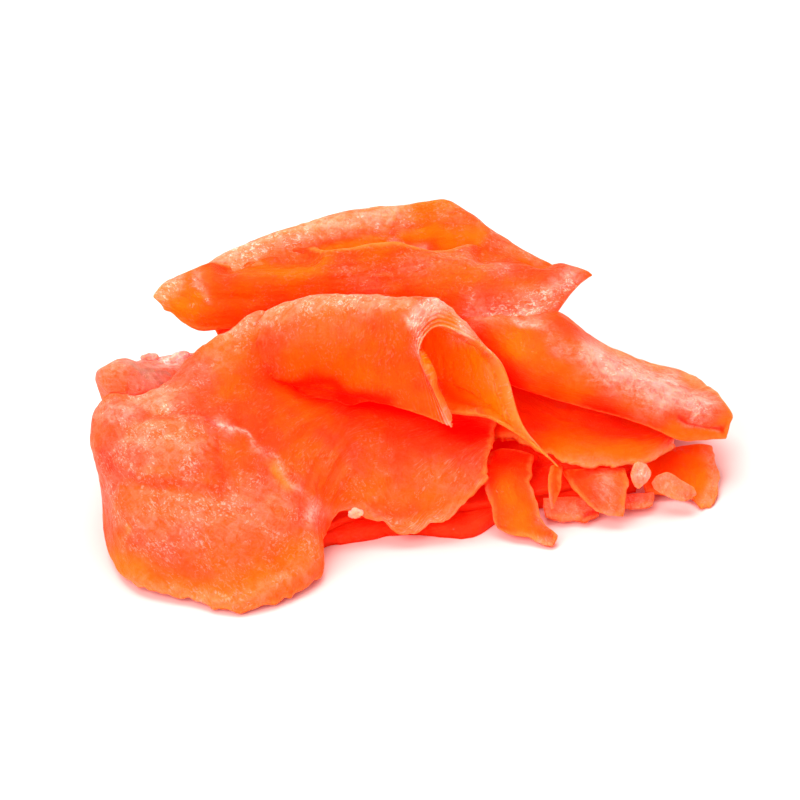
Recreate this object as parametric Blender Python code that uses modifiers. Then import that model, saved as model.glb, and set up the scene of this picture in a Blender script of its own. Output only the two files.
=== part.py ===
"""Smoked salmon: a heap of thin, moist slices that cling, fold and drape over each other.

Every slice is a sheet through a few guide lines. A guide line runs from left to right and is a row
of points (across, rise, depth) in millimetres. Across is to the right, depth goes back along the
floor, and rise is the height seen in a view that looks down on the heap by VIEW_TILT degrees, so
that a fold is set out where it is seen and its true height follows from its depth. What only the
back shows is set out by plain points (across, depth, height).
"""

import math

import bmesh
import bpy
from mathutils import Vector
from mathutils.bvhtree import BVHTree
import numpy as np

MM = 0.001
VIEW_TILT = math.radians(30)

SLICE_THICKNESS = 2.7
THIN_SLICE = 2.2
SCRAP_THICKNESS = 2.0
SLIVER_THICKNESS = 1.4
EDGE_SHARE = 0.45
BEND_SHARE = 0.15
BEND_THINNING = 0.9
BEND_ROUNDS = 8
GAP = 0.45
LIFT_REACH = 5.0
LIFT_SIDE = 1.0

HEAP_CENTRE_ACROSS = 3.2
HEAP_CENTRE_DEPTH = 52.87

BASE_HEIGHT = 3.4
CORE_RINGS = 9
CORE_STEPS = 3
CORE_MARGIN = 1.0
CORE_PROBES = 8
CORE_PROBE_REACH = 5.5
CORE_COVER_SHARE = 1.4
CORE_EASING = 5
CORE_LEAST = 1.5
CORE_MOST = 38.0

CORAL = (0.90, 0.17, 0.08)
ORANGE = (0.93, 0.24, 0.05)
PINK = (0.90, 0.30, 0.22)
PALE = (0.94, 0.50, 0.30)
DEEP_RED = (0.72, 0.07, 0.03)


def seen(across, rise, depth):
    """A point of the heap from where it is seen and how far back it lies."""
    height = (rise - depth * math.sin(VIEW_TILT)) / math.cos(VIEW_TILT)
    return placed(across, depth, height)


def placed(across, depth, height):
    """A point of the heap in the part's own frame, in millimetres."""
    return (across - HEAP_CENTRE_ACROSS, depth - HEAP_CENTRE_DEPTH, height)


def lines(*rows, point=seen):
    """Guide lines as one array: line, point, axis."""
    return np.array([[point(*numbers) for numbers in row] for row in rows])


def span(before, start, end, after, share):
    """A share of the way from start to end on a smooth line through four points."""
    def knot(a, b):
        return np.sqrt(np.linalg.norm(b - a, axis=-1, keepdims=True)) + 1e-9

    t1 = knot(before, start)
    t2 = t1 + knot(start, end)
    t3 = t2 + knot(end, after)
    t = t1 + (t2 - t1) * share
    a1 = before + (start - before) * t / t1
    a2 = start + (end - start) * (t - t1) / (t2 - t1)
    a3 = end + (after - end) * (t - t2) / (t3 - t2)
    b1 = a1 + (a2 - a1) * t / t2
    b2 = a2 + (a3 - a2) * (t - t1) / (t3 - t1)
    return b1 + (b2 - b1) * (t - t1) / (t2 - t1)


def smooth(points, steps):
    """Points on a smooth line through the first axis of an array, steps to each stretch."""
    ends = np.concatenate([[2 * points[0] - points[1]], points, [2 * points[-1] - points[-2]]])
    made = []
    for index in range(len(points) - 1):
        four = ends[index:index + 4]
        made += [span(*four, step / steps) for step in range(steps)]
    return np.array(made + [points[-1]])


def surface(guides, steps_across, steps_back):
    """The sheet through the guide lines, as an array: row, column, axis."""
    rows = smooth(guides, steps_back)
    return smooth(rows.swapaxes(0, 1), steps_across).swapaxes(0, 1)


def clear_of(sheet, below, thickness):
    """Lift the points of a sheet until its underside keeps clear of the sheets below."""
    lifted = sheet.copy()
    rows, columns = sheet.shape[:2]
    for tree in below:
        for row, column in np.ndindex(rows, columns):
            inner = 0 < row < rows - 1 and 0 < column < columns - 1
            room = GAP + thickness * (1.0 if inner else EDGE_SHARE)
            point = Vector(lifted[row, column])
            near, normal, _, _ = tree.find_nearest(point)
            away = point - near
            height = away.dot(normal)
            beside = (away - normal * height).length
            if beside < LIFT_SIDE and -LIFT_REACH < height < room:
                lifted[row, column] += np.array(normal) * (room - height)
    return lifted


def corner_areas(sheet):
    """The area vectors at each square's four corners: corner, row, column, axis."""
    ring = [sheet[:-1, :-1], sheet[:-1, 1:], sheet[1:, 1:], sheet[1:, :-1]]
    return np.array([np.cross(ring[(corner + 1) % 4] - ring[corner], ring[corner - 1] - ring[corner])
                     for corner in range(4)])


def thickness_shares(sheet, thickness):
    """The share of the thickness at each point: less at the border and inside a tight bend."""
    normals = np.cross(np.gradient(sheet, axis=1), np.gradient(sheet, axis=0))
    normals /= np.linalg.norm(normals, axis=2, keepdims=True)
    outer = corner_areas(sheet)
    shares = np.ones(sheet.shape[:2])
    shares[[0, -1], :] = EDGE_SHARE
    shares[:, [0, -1]] = EDGE_SHARE
    for _ in range(BEND_ROUNDS):
        inner = corner_areas(sheet - normals * thickness * shares[:, :, None])
        kept = (inner * outer).sum(3) / (outer * outer).sum(3)
        tight = (kept < BEND_SHARE).any(0)
        for rows, columns in ((slice(-1), slice(-1)), (slice(-1), slice(1, None)),
                              (slice(1, None), slice(-1)), (slice(1, None), slice(1, None))):
            shares[rows, columns][tight] *= BEND_THINNING
    return shares


def material(name, colour):
    """A moist, half glossy finish."""
    made = bpy.data.materials.new(name)
    made.use_nodes = True
    shader = made.node_tree.nodes["Principled BSDF"]
    shader.inputs["Base Color"].default_value = (*colour, 1)
    shader.inputs["Roughness"].default_value = 0.35
    shader.inputs["Metallic"].default_value = 0.0
    return made


def add(name, bm, collection, colour):
    """An object of the heap, made from a bmesh, with its own material."""
    mesh = bpy.data.meshes.new(name)
    bm.to_mesh(mesh)
    bm.free()
    mesh.materials.append(material(name + "_flesh", colour))
    mesh.shade_smooth()
    made = bpy.data.objects.new(name, mesh)
    collection.objects.link(made)
    return made


def grid(sheet):
    """A grid shaped to a sheet's points, and each vertex's row and column."""
    rows, columns = sheet.shape[:2]
    bm = bmesh.new()
    bmesh.ops.create_grid(bm, x_segments=columns - 1, y_segments=rows - 1, size=0.5)
    places = []
    for vertex in bm.verts:
        column = round((vertex.co.x + 0.5) * (columns - 1))
        row = round((vertex.co.y + 0.5) * (rows - 1))
        vertex.co = Vector(sheet[row, column]) * MM
        places.append((row, column))
    return bm, places


def tree_of(sheet):
    """A sheet's outer face for the pieces that lie on it, in millimetres."""
    rows, columns = sheet.shape[:2]
    corners = [Vector(point) for point in sheet.reshape(-1, 3)]
    faces = []
    for row in range(rows - 1):
        for column in range(columns - 1):
            first = row * columns + column
            faces.append((first, first + 1, first + columns + 1, first + columns))
    return BVHTree.FromPolygons(corners, faces)


def slice_object(name, sheet, collection, colour, thickness):
    """A slice: an open grid shaped to the sheet, with its thickness below and thin edges."""
    bm, places = grid(sheet)
    shares = thickness_shares(sheet, thickness)
    made = add(name, bm, collection, colour)
    fullness = made.vertex_groups.new(name="fullness")
    for index, place in enumerate(places):
        fullness.add([index], shares[place], "REPLACE")
    shell = made.modifiers.new("thickness", "SOLIDIFY")
    shell.thickness = thickness * MM
    shell.offset = -1
    shell.vertex_group = fullness.name
    return made


def front_slice():
    """The large slice in front: it drapes over the left end and slopes down to a ragged hem."""
    hem = [(-63, 24, 46), (-68, 14.8, 27), (-62, 5.4, 8.5), (-49, 2, 2), (-37, -0.4, -2.5),
           (-25, 2.8, 3.5), (-17.5, 7.7, 13), (-17, 15, 24), (-13, 22.8, 30), (1, 17, 28.5),
           (12.5, 21.2, 31), (20, 30.4, 35)]
    low = [(-65.5, 31, 50), (-69.5, 28, 31), (-62, 16.6, 12), (-49, 13, 6.5), (-37, 12, 5),
           (-26.5, 14.3, 9), (-20, 17.7, 15), (-19, 21.6, 21), (-12.5, 26, 31), (0, 22.8, 31),
           (11.5, 26, 33.5), (20, 33, 38)]
    middle = [(-66, 37.5, 53), (-71.5, 38.4, 36), (-62, 30.4, 20), (-49, 27, 13.5),
              (-37, 24.6, 12.5), (-27.5, 25.8, 16.5), (-22, 28, 22), (-18.4, 30.4, 28),
              (-11.5, 33.8, 35.5), (0, 31.5, 36), (11.5, 33.8, 38), (21, 37.5, 42)]
    crease = [(-65, 42, 55.5), (-70.5, 45.5, 42), (-62, 43, 32), (-50, 44.2, 28.5), (-40, 41.9, 27.5),
              (-31.5, 40.7, 30), (-24, 41.9, 35.5), (-17, 41.9, 40), (-10.3, 41.9, 43),
              (0, 39.6, 43), (11.5, 39.6, 45), (22, 40.5, 47)]
    mouth = [(-62, 43.5, 58), (-68, 50, 49), (-60, 49.5, 45.5), (-50, 51.5, 42), (-40, 52, 42),
             (-31.7, 53, 46), (-23, 49, 47), (-16, 47.5, 49), (-9, 46, 50), (0, 44, 50),
             (11.5, 43, 51), (22, 42.5, 52)]
    crest = [(-58, 42.5, 61), (-63, 48.5, 57), (-56, 50, 57), (-49, 58.5, 54), (-39.6, 65, 57),
             (-32, 69, 60), (-24, 52, 60), (-14, 50, 61), (-7, 49, 61), (2, 48, 61),
             (13, 46.5, 61), (23, 46, 61)]
    tuck = [(-53, 42, 64), (-57, 47.5, 63), (-53, 50, 63), (-46.5, 55.5, 63), (-38.5, 60, 65),
            (-31, 60, 66), (-22, 54, 67), (-12, 53, 68), (-4, 52, 68), (5, 51, 68),
            (14, 50, 68), (23, 49.5, 67)]
    return lines(hem, low, middle, crease, mouth, crest, tuck)


def pleat_slice():
    """The fold above the front slice: a front leg, a crown and a back leg, open at the right."""
    under = [(-32, 56, 47), (-27, 55, 46.5), (-20, 53.2, 46.5), (-10, 50.5, 44), (-1, 47.5, 42),
             (7, 44.5, 40.5), (12, 42.2, 38.5)]
    front = [(-32.5, 62, 48), (-27, 62.5, 47), (-19, 62, 46), (-9, 60.5, 44), (-1, 57.5, 43),
             (4.5, 55, 42), (8, 50.5, 40.5)]
    brow = [(-32.5, 68, 54), (-27, 69.5, 53.5), (-20, 70.5, 53), (-10, 70.3, 52), (-3, 69.5, 50),
            (1.5, 67, 47), (4.5, 60, 43)]
    crown = [(-31.5, 71.2, 60), (-27, 72.8, 60), (-20, 73.4, 59), (-10, 73.4, 58), (-2, 72.8, 57),
             (8, 72, 53), (8.5, 65.5, 48)]
    back = [(-31, 67, 65), (-26, 68, 65.5), (-18, 68, 65), (-8, 68, 65), (3, 67.5, 64),
            (14, 66, 59), (21.5, 57.5, 50)]
    heel = [(-30, 64.5, 69.5), (-24, 62, 68.5), (-15, 60, 68), (-3, 59, 67), (7, 55, 63),
            (18, 50, 55.5), (29, 42.5, 44)]
    toe = [(-29, 62, 70.5), (-23, 56.5, 67), (-13, 54.5, 65), (-2, 52.5, 61), (9.5, 45.8, 50),
           (22, 43.3, 46), (37, 33.2, 38.5)]
    return lines(under, front, brow, crown, back, heel, toe)


def top_slice():
    """The slice on top: a tongue at the left, a sharp tip at the right and a free rim behind."""
    lip = [(-54.5, 70, 66), (-48, 65, 64), (-38, 65, 66), (-23, 67, 71.5), (0, 67, 72),
           (18, 69, 64), (28, 68.6, 62), (36.8, 69.4, 66)]
    face = [(-57.5, 73, 68), (-47, 72, 66), (-35, 71.5, 67.5), (-17, 74, 71), (1, 74, 71.5),
            (16, 75, 69), (29, 74.5, 67.5), (41, 74.4, 72.5)]
    hill = [(-56.8, 75, 70), (-45, 78, 70), (-33, 78.5, 71), (-16, 80, 73.5), (0, 79.5, 74),
            (14, 80, 74), (28, 79.5, 74), (45, 78.6, 76.2)]
    rim = [(-54.5, 77, 75), (-44, 81.5, 77), (-32, 84, 79), (-15, 83.5, 77), (0, 82.8, 76.5),
           (12, 84.6, 78), (25, 84.5, 80), (41, 79.4, 79)]
    return lines(lip, face, hill, rim)


def crest_slice():
    """The slice behind the top one: it rises from the pocket to the crest and falls behind."""
    root = [(-49, 71, 73), (-43, 75, 74.5), (-31, 76.5, 75), (-14, 77, 75), (1, 76.5, 75),
            (12, 77, 76), (23, 77, 76), (36, 74, 76)]
    pocket = [(-50.5, 74, 76.5), (-43.5, 79, 79), (-31, 82, 80), (-14, 82, 80), (1, 81, 80.5),
              (12, 81, 81.5), (23.5, 81, 80.5), (38, 76.5, 79)]
    rise = [(-50.5, 76, 79.5), (-43, 82, 82), (-29, 87, 83), (-13, 89.5, 83.5), (1, 88, 84),
            (11.5, 88.5, 85), (23, 84.5, 83.5), (38, 78.4, 81.5)]
    crest = [(-49, 75.7, 83), (-41, 83, 85), (-27, 88.5, 86), (-12, 92.6, 87), (2, 93.8, 87.5),
             (11, 95, 88.5), (22.5, 87.6, 87.5), (36.3, 80.2, 85)]
    brink = [(-48, 73, 88), (-40, 82, 90), (-26, 87.8, 92), (-11, 92, 93), (3, 93.2, 93.5),
             (12, 94.2, 94), (23, 87, 92), (36, 78.5, 89.5)]
    back = [(-46, 69, 92), (-37, 76, 95), (-24, 82, 97), (-10, 86, 98.5), (4, 87, 99),
            (14, 87, 98.5), (25, 80, 95), (33, 75.5, 92.5)]
    tail = [(-43, 64, 94), (-33, 69, 99), (-21, 73, 102), (-8, 75, 104), (6, 76, 104.5),
            (17, 75, 103), (26, 70, 99), (32, 68.5, 95)]
    return lines(root, pocket, rise, crest, brink, back, tail)


def right_slice():
    """The slice on the right: it bulges beside the fold and falls away as a flat flap."""
    edge = [(14, 56, 67), (22, 53.5, 62), (28, 51, 58.5), (37, 48, 58), (46, 45.6, 57),
            (55, 43, 56), (66, 39.6, 56), (76, 40.3, 60)]
    bulge = [(13.5, 61, 66), (21.5, 60.3, 60), (29, 57.5, 52.5), (38, 54.7, 52), (46, 51, 53),
             (55.5, 46.5, 54), (66, 43.8, 56.5), (77.3, 43.2, 62)]
    ridge = [(13, 66, 67), (20, 66.3, 63), (30, 66.5, 61.5), (37.5, 66, 61.5), (44.5, 60.6, 59.5),
             (53, 54, 58.5), (66, 48.5, 61), (77.9, 45.4, 66)]
    flap = [(12, 68, 69.5), (19, 68.6, 66.5), (29, 69.6, 66.5), (36.5, 69.4, 68), (48.5, 60, 69),
            (57.5, 55.4, 69), (69, 51.2, 70), (75.7, 49, 71)]
    brow = [(11, 66.5, 77), (18, 66, 77), (29, 67, 77), (38, 66.3, 78), (49.5, 61, 80),
            (59, 57.3, 81), (68.5, 54.7, 80.5), (74, 51, 77)]
    back = [(13, 68, 89), (20, 68, 89), (30, 66.5, 90), (39, 63, 91), (49, 56.5, 91),
            (58, 52.5, 90), (67, 50.5, 87), (72.5, 49.3, 81.5)]
    return lines(edge, bulge, ridge, flap, brow, back)


def mid_right_slice():
    """The slice under the fold and the flap, with a ragged lower edge."""
    edge = [(15, 39.5, 61), (23.5, 41, 57), (29.5, 38.5, 53), (37, 34.3, 45), (44, 33.4, 44.5),
            (52.5, 33.2, 46), (59, 34.5, 49), (64, 38.8, 57)]
    slope = [(15, 41, 64), (23.5, 42, 60), (30, 41.5, 57), (37.5, 39.6, 50), (45.5, 39, 49.5),
             (54, 38, 51), (60, 38.5, 54), (64.3, 40.5, 61)]
    shelf = [(15.5, 43, 67), (24, 44.7, 64), (30, 44.7, 62), (37.5, 44.2, 59), (46.5, 43, 58),
             (55, 41, 59), (60.5, 41, 61), (63.5, 42, 65.5)]
    under = [(16, 49, 76), (24, 53, 76), (29.5, 52, 74), (37, 50.5, 73), (47, 48.2, 72),
             (55, 45, 71), (60, 44, 71), (62.5, 44, 71)]
    return lines(edge, slope, shelf, under)


def left_back_slice():
    """The slice behind the left end: a rolled lobe in front and brown meat on its back."""
    lobe = [(-67, 45, 58), (-70, 51.5, 51.5), (-65, 51.8, 50.5), (-60, 51.8, 51.5),
            (-56, 52, 55)]
    bulge = [(-68.5, 47, 59), (-71, 54.3, 54), (-66, 55.7, 51.5), (-60, 55, 53), (-55.5, 53.5, 57)]
    top = [(-68.5, 46.5, 63), (-69.5, 55.3, 60), (-65, 58.2, 56.5), (-58.5, 57, 58.5),
           (-54.5, 55.2, 60.5)]
    dip = [(-67, 46, 67), (-68, 55, 64), (-63, 57.3, 63), (-57, 57, 64), (-49, 57.5, 67)]
    ledge = [(-65.5, 45.5, 74), (-65, 54.5, 71), (-60, 58, 70.5), (-54, 59.5, 71), (-46.5, 60, 72)]
    back = [(-62.5, 45.5, 81), (-61, 50, 80), (-56, 53.5, 81), (-50, 56, 81.5), (-44, 58, 81.5)]
    heel = [(-60, 44.2, 85.5), (-59, 44.2, 85.5), (-55, 45, 86.5), (-49, 46.5, 86.5),
            (-43, 50, 85)]
    return lines(lobe, bulge, top, dip, ledge, back, heel)


def back_left_slice():
    """The slice that hangs down behind, from under the crest to the floor."""
    head = [(-44, 82, 22), (-34, 84, 30), (-18, 88, 35), (-4, 90, 36), (14, 89, 34)]
    neck = [(-48, 88, 19), (-36, 92, 24), (-20, 97, 26), (-4, 99, 27), (18, 98, 25)]
    fall = [(-50, 91, 11), (-37, 97, 14), (-20, 103, 14), (-3, 104, 15), (22, 103, 14)]
    hem = [(-50, 93, 1.4), (-38, 101, 1.4), (-20, 108, 1.4), (-2, 107, 3), (25, 106, 1.4)]
    return lines(head, neck, fall, hem, point=placed)


def back_right_fold():
    """The slice that hangs down behind the flap."""
    head = [(8, 83, 25), (27, 83, 20.5), (42, 82, 13.5), (55, 80, 7), (66, 76, 4)]
    neck = [(9, 93, 24), (28, 93, 20), (43, 92, 11), (57, 89, 5.5), (68, 82, 3.5)]
    hem = [(11, 98, 1.5), (30, 101, 1.4), (44, 100, 1.4), (58, 95, 1.4), (70, 86, 1.4)]
    return lines(head, neck, hem, point=placed)


def back_right_slice():
    """The slice low on the right, with a scalloped edge."""
    front = [(57, 27.5, 50), (67, 26.5, 49.5), (70.5, 23.5, 45.2), (74, 26.4, 50)]
    middle = [(56.5, 31, 55), (66, 32, 56), (71, 30.5, 55), (75.6, 30.2, 57)]
    step = [(57, 35.7, 61), (66.5, 36.5, 63), (70.5, 36, 62.5), (74.4, 34.8, 63)]
    root = [(57.5, 38, 67), (66, 38.5, 68), (70.5, 39, 68.5), (73.6, 38.5, 69)]
    return lines(front, middle, step, root)


def small_chunk():
    """The small chunk that lies in front of the slice low on the right."""
    foot = [(58.9, 27.8, 45.2), (62.2, 25.9, 43.8), (65.8, 24.7, 43), (68.2, 25.8, 44.2)]
    belly = [(58.3, 29.6, 46.4), (62.6, 28.9, 45.2), (66.4, 27.4, 44.6), (69.4, 27, 45.4)]
    top = [(59.3, 31.2, 48.4), (62.4, 32.3, 48.6), (66, 30.3, 48.4), (68.8, 28.7, 47.6)]
    return lines(foot, belly, top)


def front_tongue():
    """The tongue that hangs out in front and curls on the floor."""
    end = [(22.6, 17.8, 33.2), (25.8, 16.5, 30.6), (30.5, 15.6, 29), (36, 14.7, 27.4)]
    foot = [(20.9, 20.8, 35), (25, 19.8, 33), (31, 18.6, 31.4), (36.9, 17.6, 30.4)]
    heel = [(20.5, 22.9, 36.4), (24.6, 22.3, 35.2), (29.5, 21.2, 34.4), (34.3, 20.1, 34)]
    ankle = [(20.1, 25.2, 38), (24, 25.2, 37.4), (28.4, 24.6, 36.8), (32.8, 23.4, 37)]
    waist = [(19.4, 29.4, 42), (23.4, 29.7, 42), (27.6, 29.3, 41.6), (31.8, 28.6, 41.6)]
    neck = [(19.6, 33.5, 49), (23.5, 34, 49.5), (27.6, 33.8, 49), (31.5, 33, 48.4)]
    root = [(20.8, 37, 56.5), (24, 37.8, 57), (28, 37.5, 56), (31.5, 36.4, 54.8)]
    return lines(end, foot, heel, ankle, waist, neck, root)


def thin_sliver():
    """The thin sliver that hangs beside the tongue."""
    point = [(34.9, 23.5, 37.6), (35.3, 23.2, 37.4), (35.8, 23.7, 37.6)]
    middle = [(34.3, 27.8, 39.6), (35.7, 27.2, 38.8), (37.3, 27.4, 39.4)]
    neck = [(34.3, 31, 43), (36, 31.2, 42.6), (37.7, 31, 43)]
    root = [(34.9, 33.6, 48), (36.5, 34, 48), (38, 33.6, 48)]
    return lines(point, middle, neck, root)


def round_tongue():
    """The short round tongue between the front one and the small chunk."""
    end = [(45.6, 22.5, 38.4), (49, 21.2, 37.2), (52.2, 21, 37.4)]
    belly = [(42.8, 24.8, 40), (47.8, 25.2, 38.4), (53.2, 25.4, 39.2)]
    shoulder = [(39.8, 28.2, 43), (46.3, 29.4, 41.4), (53.4, 29.4, 42.4)]
    root = [(37.4, 33, 49.5), (45, 33.4, 48.5), (52.6, 33.2, 49.5)]
    return lines(end, belly, shoulder, root)


def pale_scrap():
    """The pale, thin scrap beside the round tongue."""
    foot = [(53.6, 28.4, 43), (55.8, 28, 42.4), (58.4, 28.8, 43.2)]
    top = [(53, 33.6, 44.3), (55.7, 34.2, 44.2), (58.4, 34.2, 44.8)]
    return lines(foot, top)


def low_strip():
    """The strip on the floor under the two tongues."""
    front = [(33.5, 21.8, 39), (39.5, 20.6, 37.6), (44, 21.3, 38.6), (47, 22.4, 40.4)]
    back = [(32.5, 26.4, 46), (38.5, 26.6, 46), (44, 26.6, 46), (48, 26.6, 46)]
    return lines(front, back)


def red_strip():
    """The narrow strip on the floor under the pale scrap."""
    front = [(51, 24.2, 43.4), (55.5, 23.9, 43), (59, 24.6, 44.2)]
    back = [(51, 27.2, 48.5), (55.5, 27.4, 49), (59.5, 27.6, 49.5)]
    return lines(front, back)


def bottom_slice():
    """The flat slice that the heap lies on."""
    front = [(-56, 18, 0), (-42, 11, 0), (-27, 13, 0), (-21, 26, 0), (-8, 32, 0), (4, 34.5, 0),
             (16, 33, 0), (27, 44, 0), (44, 50, 0), (55, 54, 0)]
    middle = [(-61, 42, 0), (-48, 42, 0), (-34, 44, 0), (-22, 48, 0), (-8, 50, 0), (4, 52, 0),
              (16, 54, 0), (30, 56, 0), (45, 60, 0), (57, 64, 0)]
    rear = [(-58, 66, 0), (-46, 70, 0), (-32, 72, 0), (-20, 74, 0), (-8, 76, 0), (4, 77, 0),
            (16, 77, 0), (30, 77, 0), (45, 76, 0), (57, 74, 0)]
    back = [(-52, 80, 0), (-44, 88, 0), (-31, 94, 0), (-20, 98, 0), (-8, 98, 0), (4, 97, 0),
            (16, 94, 0), (30, 93, 0), (45, 90, 0), (56, 83, 0)]
    return lines(front, middle, rear, back, point=placed) + (0, 0, BASE_HEIGHT)


CORE_CENTRE = (-4, 58)
CORE_OUTLINE = [(-49, 60), (-57, 44), (-56, 22), (-44, 11), (-31, 12), (-20, 27), (-9, 36),
                (6, 38), (20, 41), (34, 47), (46, 52), (54, 58), (56, 68), (54, 78), (42, 86),
                (24, 91), (0, 96), (-22, 95), (-37, 84), (-53, 73)]


def core_object(collection, covers):
    """What the slices lie on: the folded flesh inside, up to just under the sheets above it."""
    outline = np.array([placed(*point, 0) for point in CORE_OUTLINE + CORE_OUTLINE[:1]])
    around = smooth(outline, CORE_STEPS)
    centre = np.array(placed(*CORE_CENTRE, 0))
    sheet = np.array([centre + (around - centre) * ring / CORE_RINGS
                      for ring in range(CORE_RINGS + 1)])
    floor = BASE_HEIGHT + GAP
    heights = np.array([[core_height(point, covers, floor) for point in ring] for ring in sheet])
    sheet[:, :, 2] = floor + eased(heights)
    bm, _ = grid(sheet)
    bmesh.ops.remove_doubles(bm, verts=bm.verts[:], dist=0.01 * MM)
    made = bmesh.ops.extrude_face_region(bm, geom=bm.faces[:])
    for vertex in (item for item in made["geom"] if isinstance(item, bmesh.types.BMVert)):
        vertex.co.z = floor * MM
    bmesh.ops.recalc_face_normals(bm, faces=bm.faces[:])
    return add("inner_slices", bm, collection, DEEP_RED)


def eased(heights):
    """The core's heights, ring by ring, with each peak taken down to what is round about it."""
    spokes = heights[:, :-1]
    for _ in range(CORE_EASING):
        inward = np.concatenate([spokes[:1], spokes[:-1]])
        outward = np.concatenate([spokes[1:], spokes[-1:]])
        around = (inward + outward + np.roll(spokes, 1, axis=1) + np.roll(spokes, -1, axis=1)) / 4
        spokes = np.minimum(spokes, around)
        spokes[0] = spokes[0].min()
    return np.concatenate([spokes, spokes[:, :1]], axis=1)


def core_height(point, covers, floor):
    """How high the inside reaches at a point: under the lowest sheet round about it."""
    probes = [(0, 0)]
    for step in range(CORE_PROBES):
        turn = math.tau * step / CORE_PROBES
        probes.append((CORE_PROBE_REACH * math.cos(turn), CORE_PROBE_REACH * math.sin(turn)))
    least = math.inf
    for aside, along in probes:
        start = Vector((point[0] + aside, point[1] + along, 0.0))
        for tree, thickness in covers:
            hit = tree.ray_cast(start, Vector((0, 0, 1)))[0]
            if hit is not None:
                least = min(least, hit.z - thickness * CORE_COVER_SHARE)
    if math.isinf(least):
        return CORE_LEAST
    return min(max(least - floor - CORE_MARGIN, CORE_LEAST), CORE_MOST)


PIECES = [
    ("red_strip", red_strip, DEEP_RED, 2, 2, SCRAP_THICKNESS, ()),
    ("low_strip", low_strip, DEEP_RED, 2, 2, SCRAP_THICKNESS, ()),
    ("back_right_slice", back_right_slice, ORANGE, 2, 2, SCRAP_THICKNESS, ()),
    ("small_chunk", small_chunk, PALE, 2, 2, SCRAP_THICKNESS, ()),
    ("round_tongue", round_tongue, ORANGE, 3, 2, SCRAP_THICKNESS, ()),
    ("front_tongue", front_tongue, ORANGE, 3, 2, SCRAP_THICKNESS, ()),
    ("thin_sliver", thin_sliver, PALE, 1, 2, SLIVER_THICKNESS, ()),
    ("pale_scrap", pale_scrap, PALE, 2, 3, SLIVER_THICKNESS, ()),
    ("mid_right_slice", mid_right_slice, ORANGE, 2, 3, SLICE_THICKNESS, ()),
    ("right_slice", right_slice, PINK, 3, 3, SLICE_THICKNESS, ("mid_right_slice",)),
    ("front_slice", front_slice, CORAL, 2, 3, SLICE_THICKNESS, ()),
    ("pleat_slice", pleat_slice, ORANGE, 3, 3, THIN_SLICE, ("front_slice", "mid_right_slice")),
    ("left_back_slice", left_back_slice, PINK, 3, 2, SLICE_THICKNESS, ()),
    ("back_right_fold", back_right_fold, CORAL, 2, 3, SLICE_THICKNESS, ()),
    ("back_left_slice", back_left_slice, PINK, 3, 3, SLICE_THICKNESS, ("back_right_fold",)),
    ("crest_slice", crest_slice, CORAL, 3, 2, THIN_SLICE,
     ("right_slice", "back_left_slice", "back_right_fold")),
    ("top_slice", top_slice, CORAL, 3, 3, SLICE_THICKNESS,
     ("pleat_slice", "right_slice", "crest_slice")),
]


def build():
    """Clear the file and build the heap from the floor up."""
    for old in list(bpy.data.objects):
        bpy.data.objects.remove(old, do_unlink=True)
    heap = bpy.data.collections.new("smoked_salmon")
    bpy.context.scene.collection.children.link(heap)

    base = slice_object("bottom_slice", surface(bottom_slice(), 2, 2), heap, DEEP_RED, BASE_HEIGHT)
    base.modifiers["thickness"].vertex_group = ""

    trees = {}
    covers = []
    for name, guides, colour, across, back, thickness, below in PIECES:
        sheet = surface(guides(), across, back)
        sheet = clear_of(sheet, [trees[other] for other in below], thickness)
        slice_object(name, sheet, heap, colour, thickness)
        trees[name] = tree_of(sheet)
        covers.append((trees[name], thickness))
    core_object(heap, covers)


build()
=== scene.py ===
"""The looks of a heap of smoked salmon: slices with ragged, rounded edges, fibres, fat lines and
flecks take the place of the frame's plain solids, with crumbs on them and a white studio. The
flesh carries painted light: painted shade in its folds, a painted glow and yellow-orange where
light would come through it, and paleness and flecks that are partly painted highlights and glints."""

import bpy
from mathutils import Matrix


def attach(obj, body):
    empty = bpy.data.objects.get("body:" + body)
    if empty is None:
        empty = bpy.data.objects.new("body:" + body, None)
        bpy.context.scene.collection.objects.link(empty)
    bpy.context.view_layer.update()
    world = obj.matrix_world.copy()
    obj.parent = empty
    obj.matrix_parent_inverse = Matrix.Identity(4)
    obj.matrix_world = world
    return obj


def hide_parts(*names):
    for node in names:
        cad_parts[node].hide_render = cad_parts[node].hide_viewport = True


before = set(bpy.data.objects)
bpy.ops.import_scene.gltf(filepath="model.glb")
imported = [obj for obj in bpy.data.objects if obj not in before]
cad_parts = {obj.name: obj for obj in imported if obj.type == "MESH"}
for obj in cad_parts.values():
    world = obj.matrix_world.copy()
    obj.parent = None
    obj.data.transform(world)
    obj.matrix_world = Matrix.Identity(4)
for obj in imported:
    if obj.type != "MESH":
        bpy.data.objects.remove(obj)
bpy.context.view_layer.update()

import math

import bmesh
import bpy
from bpy.props import FloatProperty, FloatVectorProperty, IntProperty, PointerProperty
from mathutils import Vector
from mathutils.bvhtree import BVHTree
import numpy as np

bl_info = {
    "name": "Smoked Salmon Heap",
    "version": (1, 0, 0),
    "blender": (4, 5, 0),
    "location": "View3D > Sidebar > Salmon",
    "description": "Folded slices of smoked salmon on a white floor",
    "category": "Add Mesh",
}

MM = 0.001
BODY = "root"

# The view that guides and strokes are laid out in, with the pixel rows of its foot and middle
VIEW_TILT = math.radians(30)
TOWARD_VIEWER = (0.0, -math.cos(VIEW_TILT), math.sin(VIEW_TILT))
HEAP_CENTRE_ACROSS = 3.2
HEAP_CENTRE_DEPTH = 52.87
MM_PER_PIXEL = 0.23
FOOT_ROW = 612
MIDDLE_ROW = 400

# Random unevenness: the knots in its table, and how far its layers are shifted
GRAIN_KNOTS = 256
LAYER_SHIFT = (17.3, 5.9)

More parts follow.
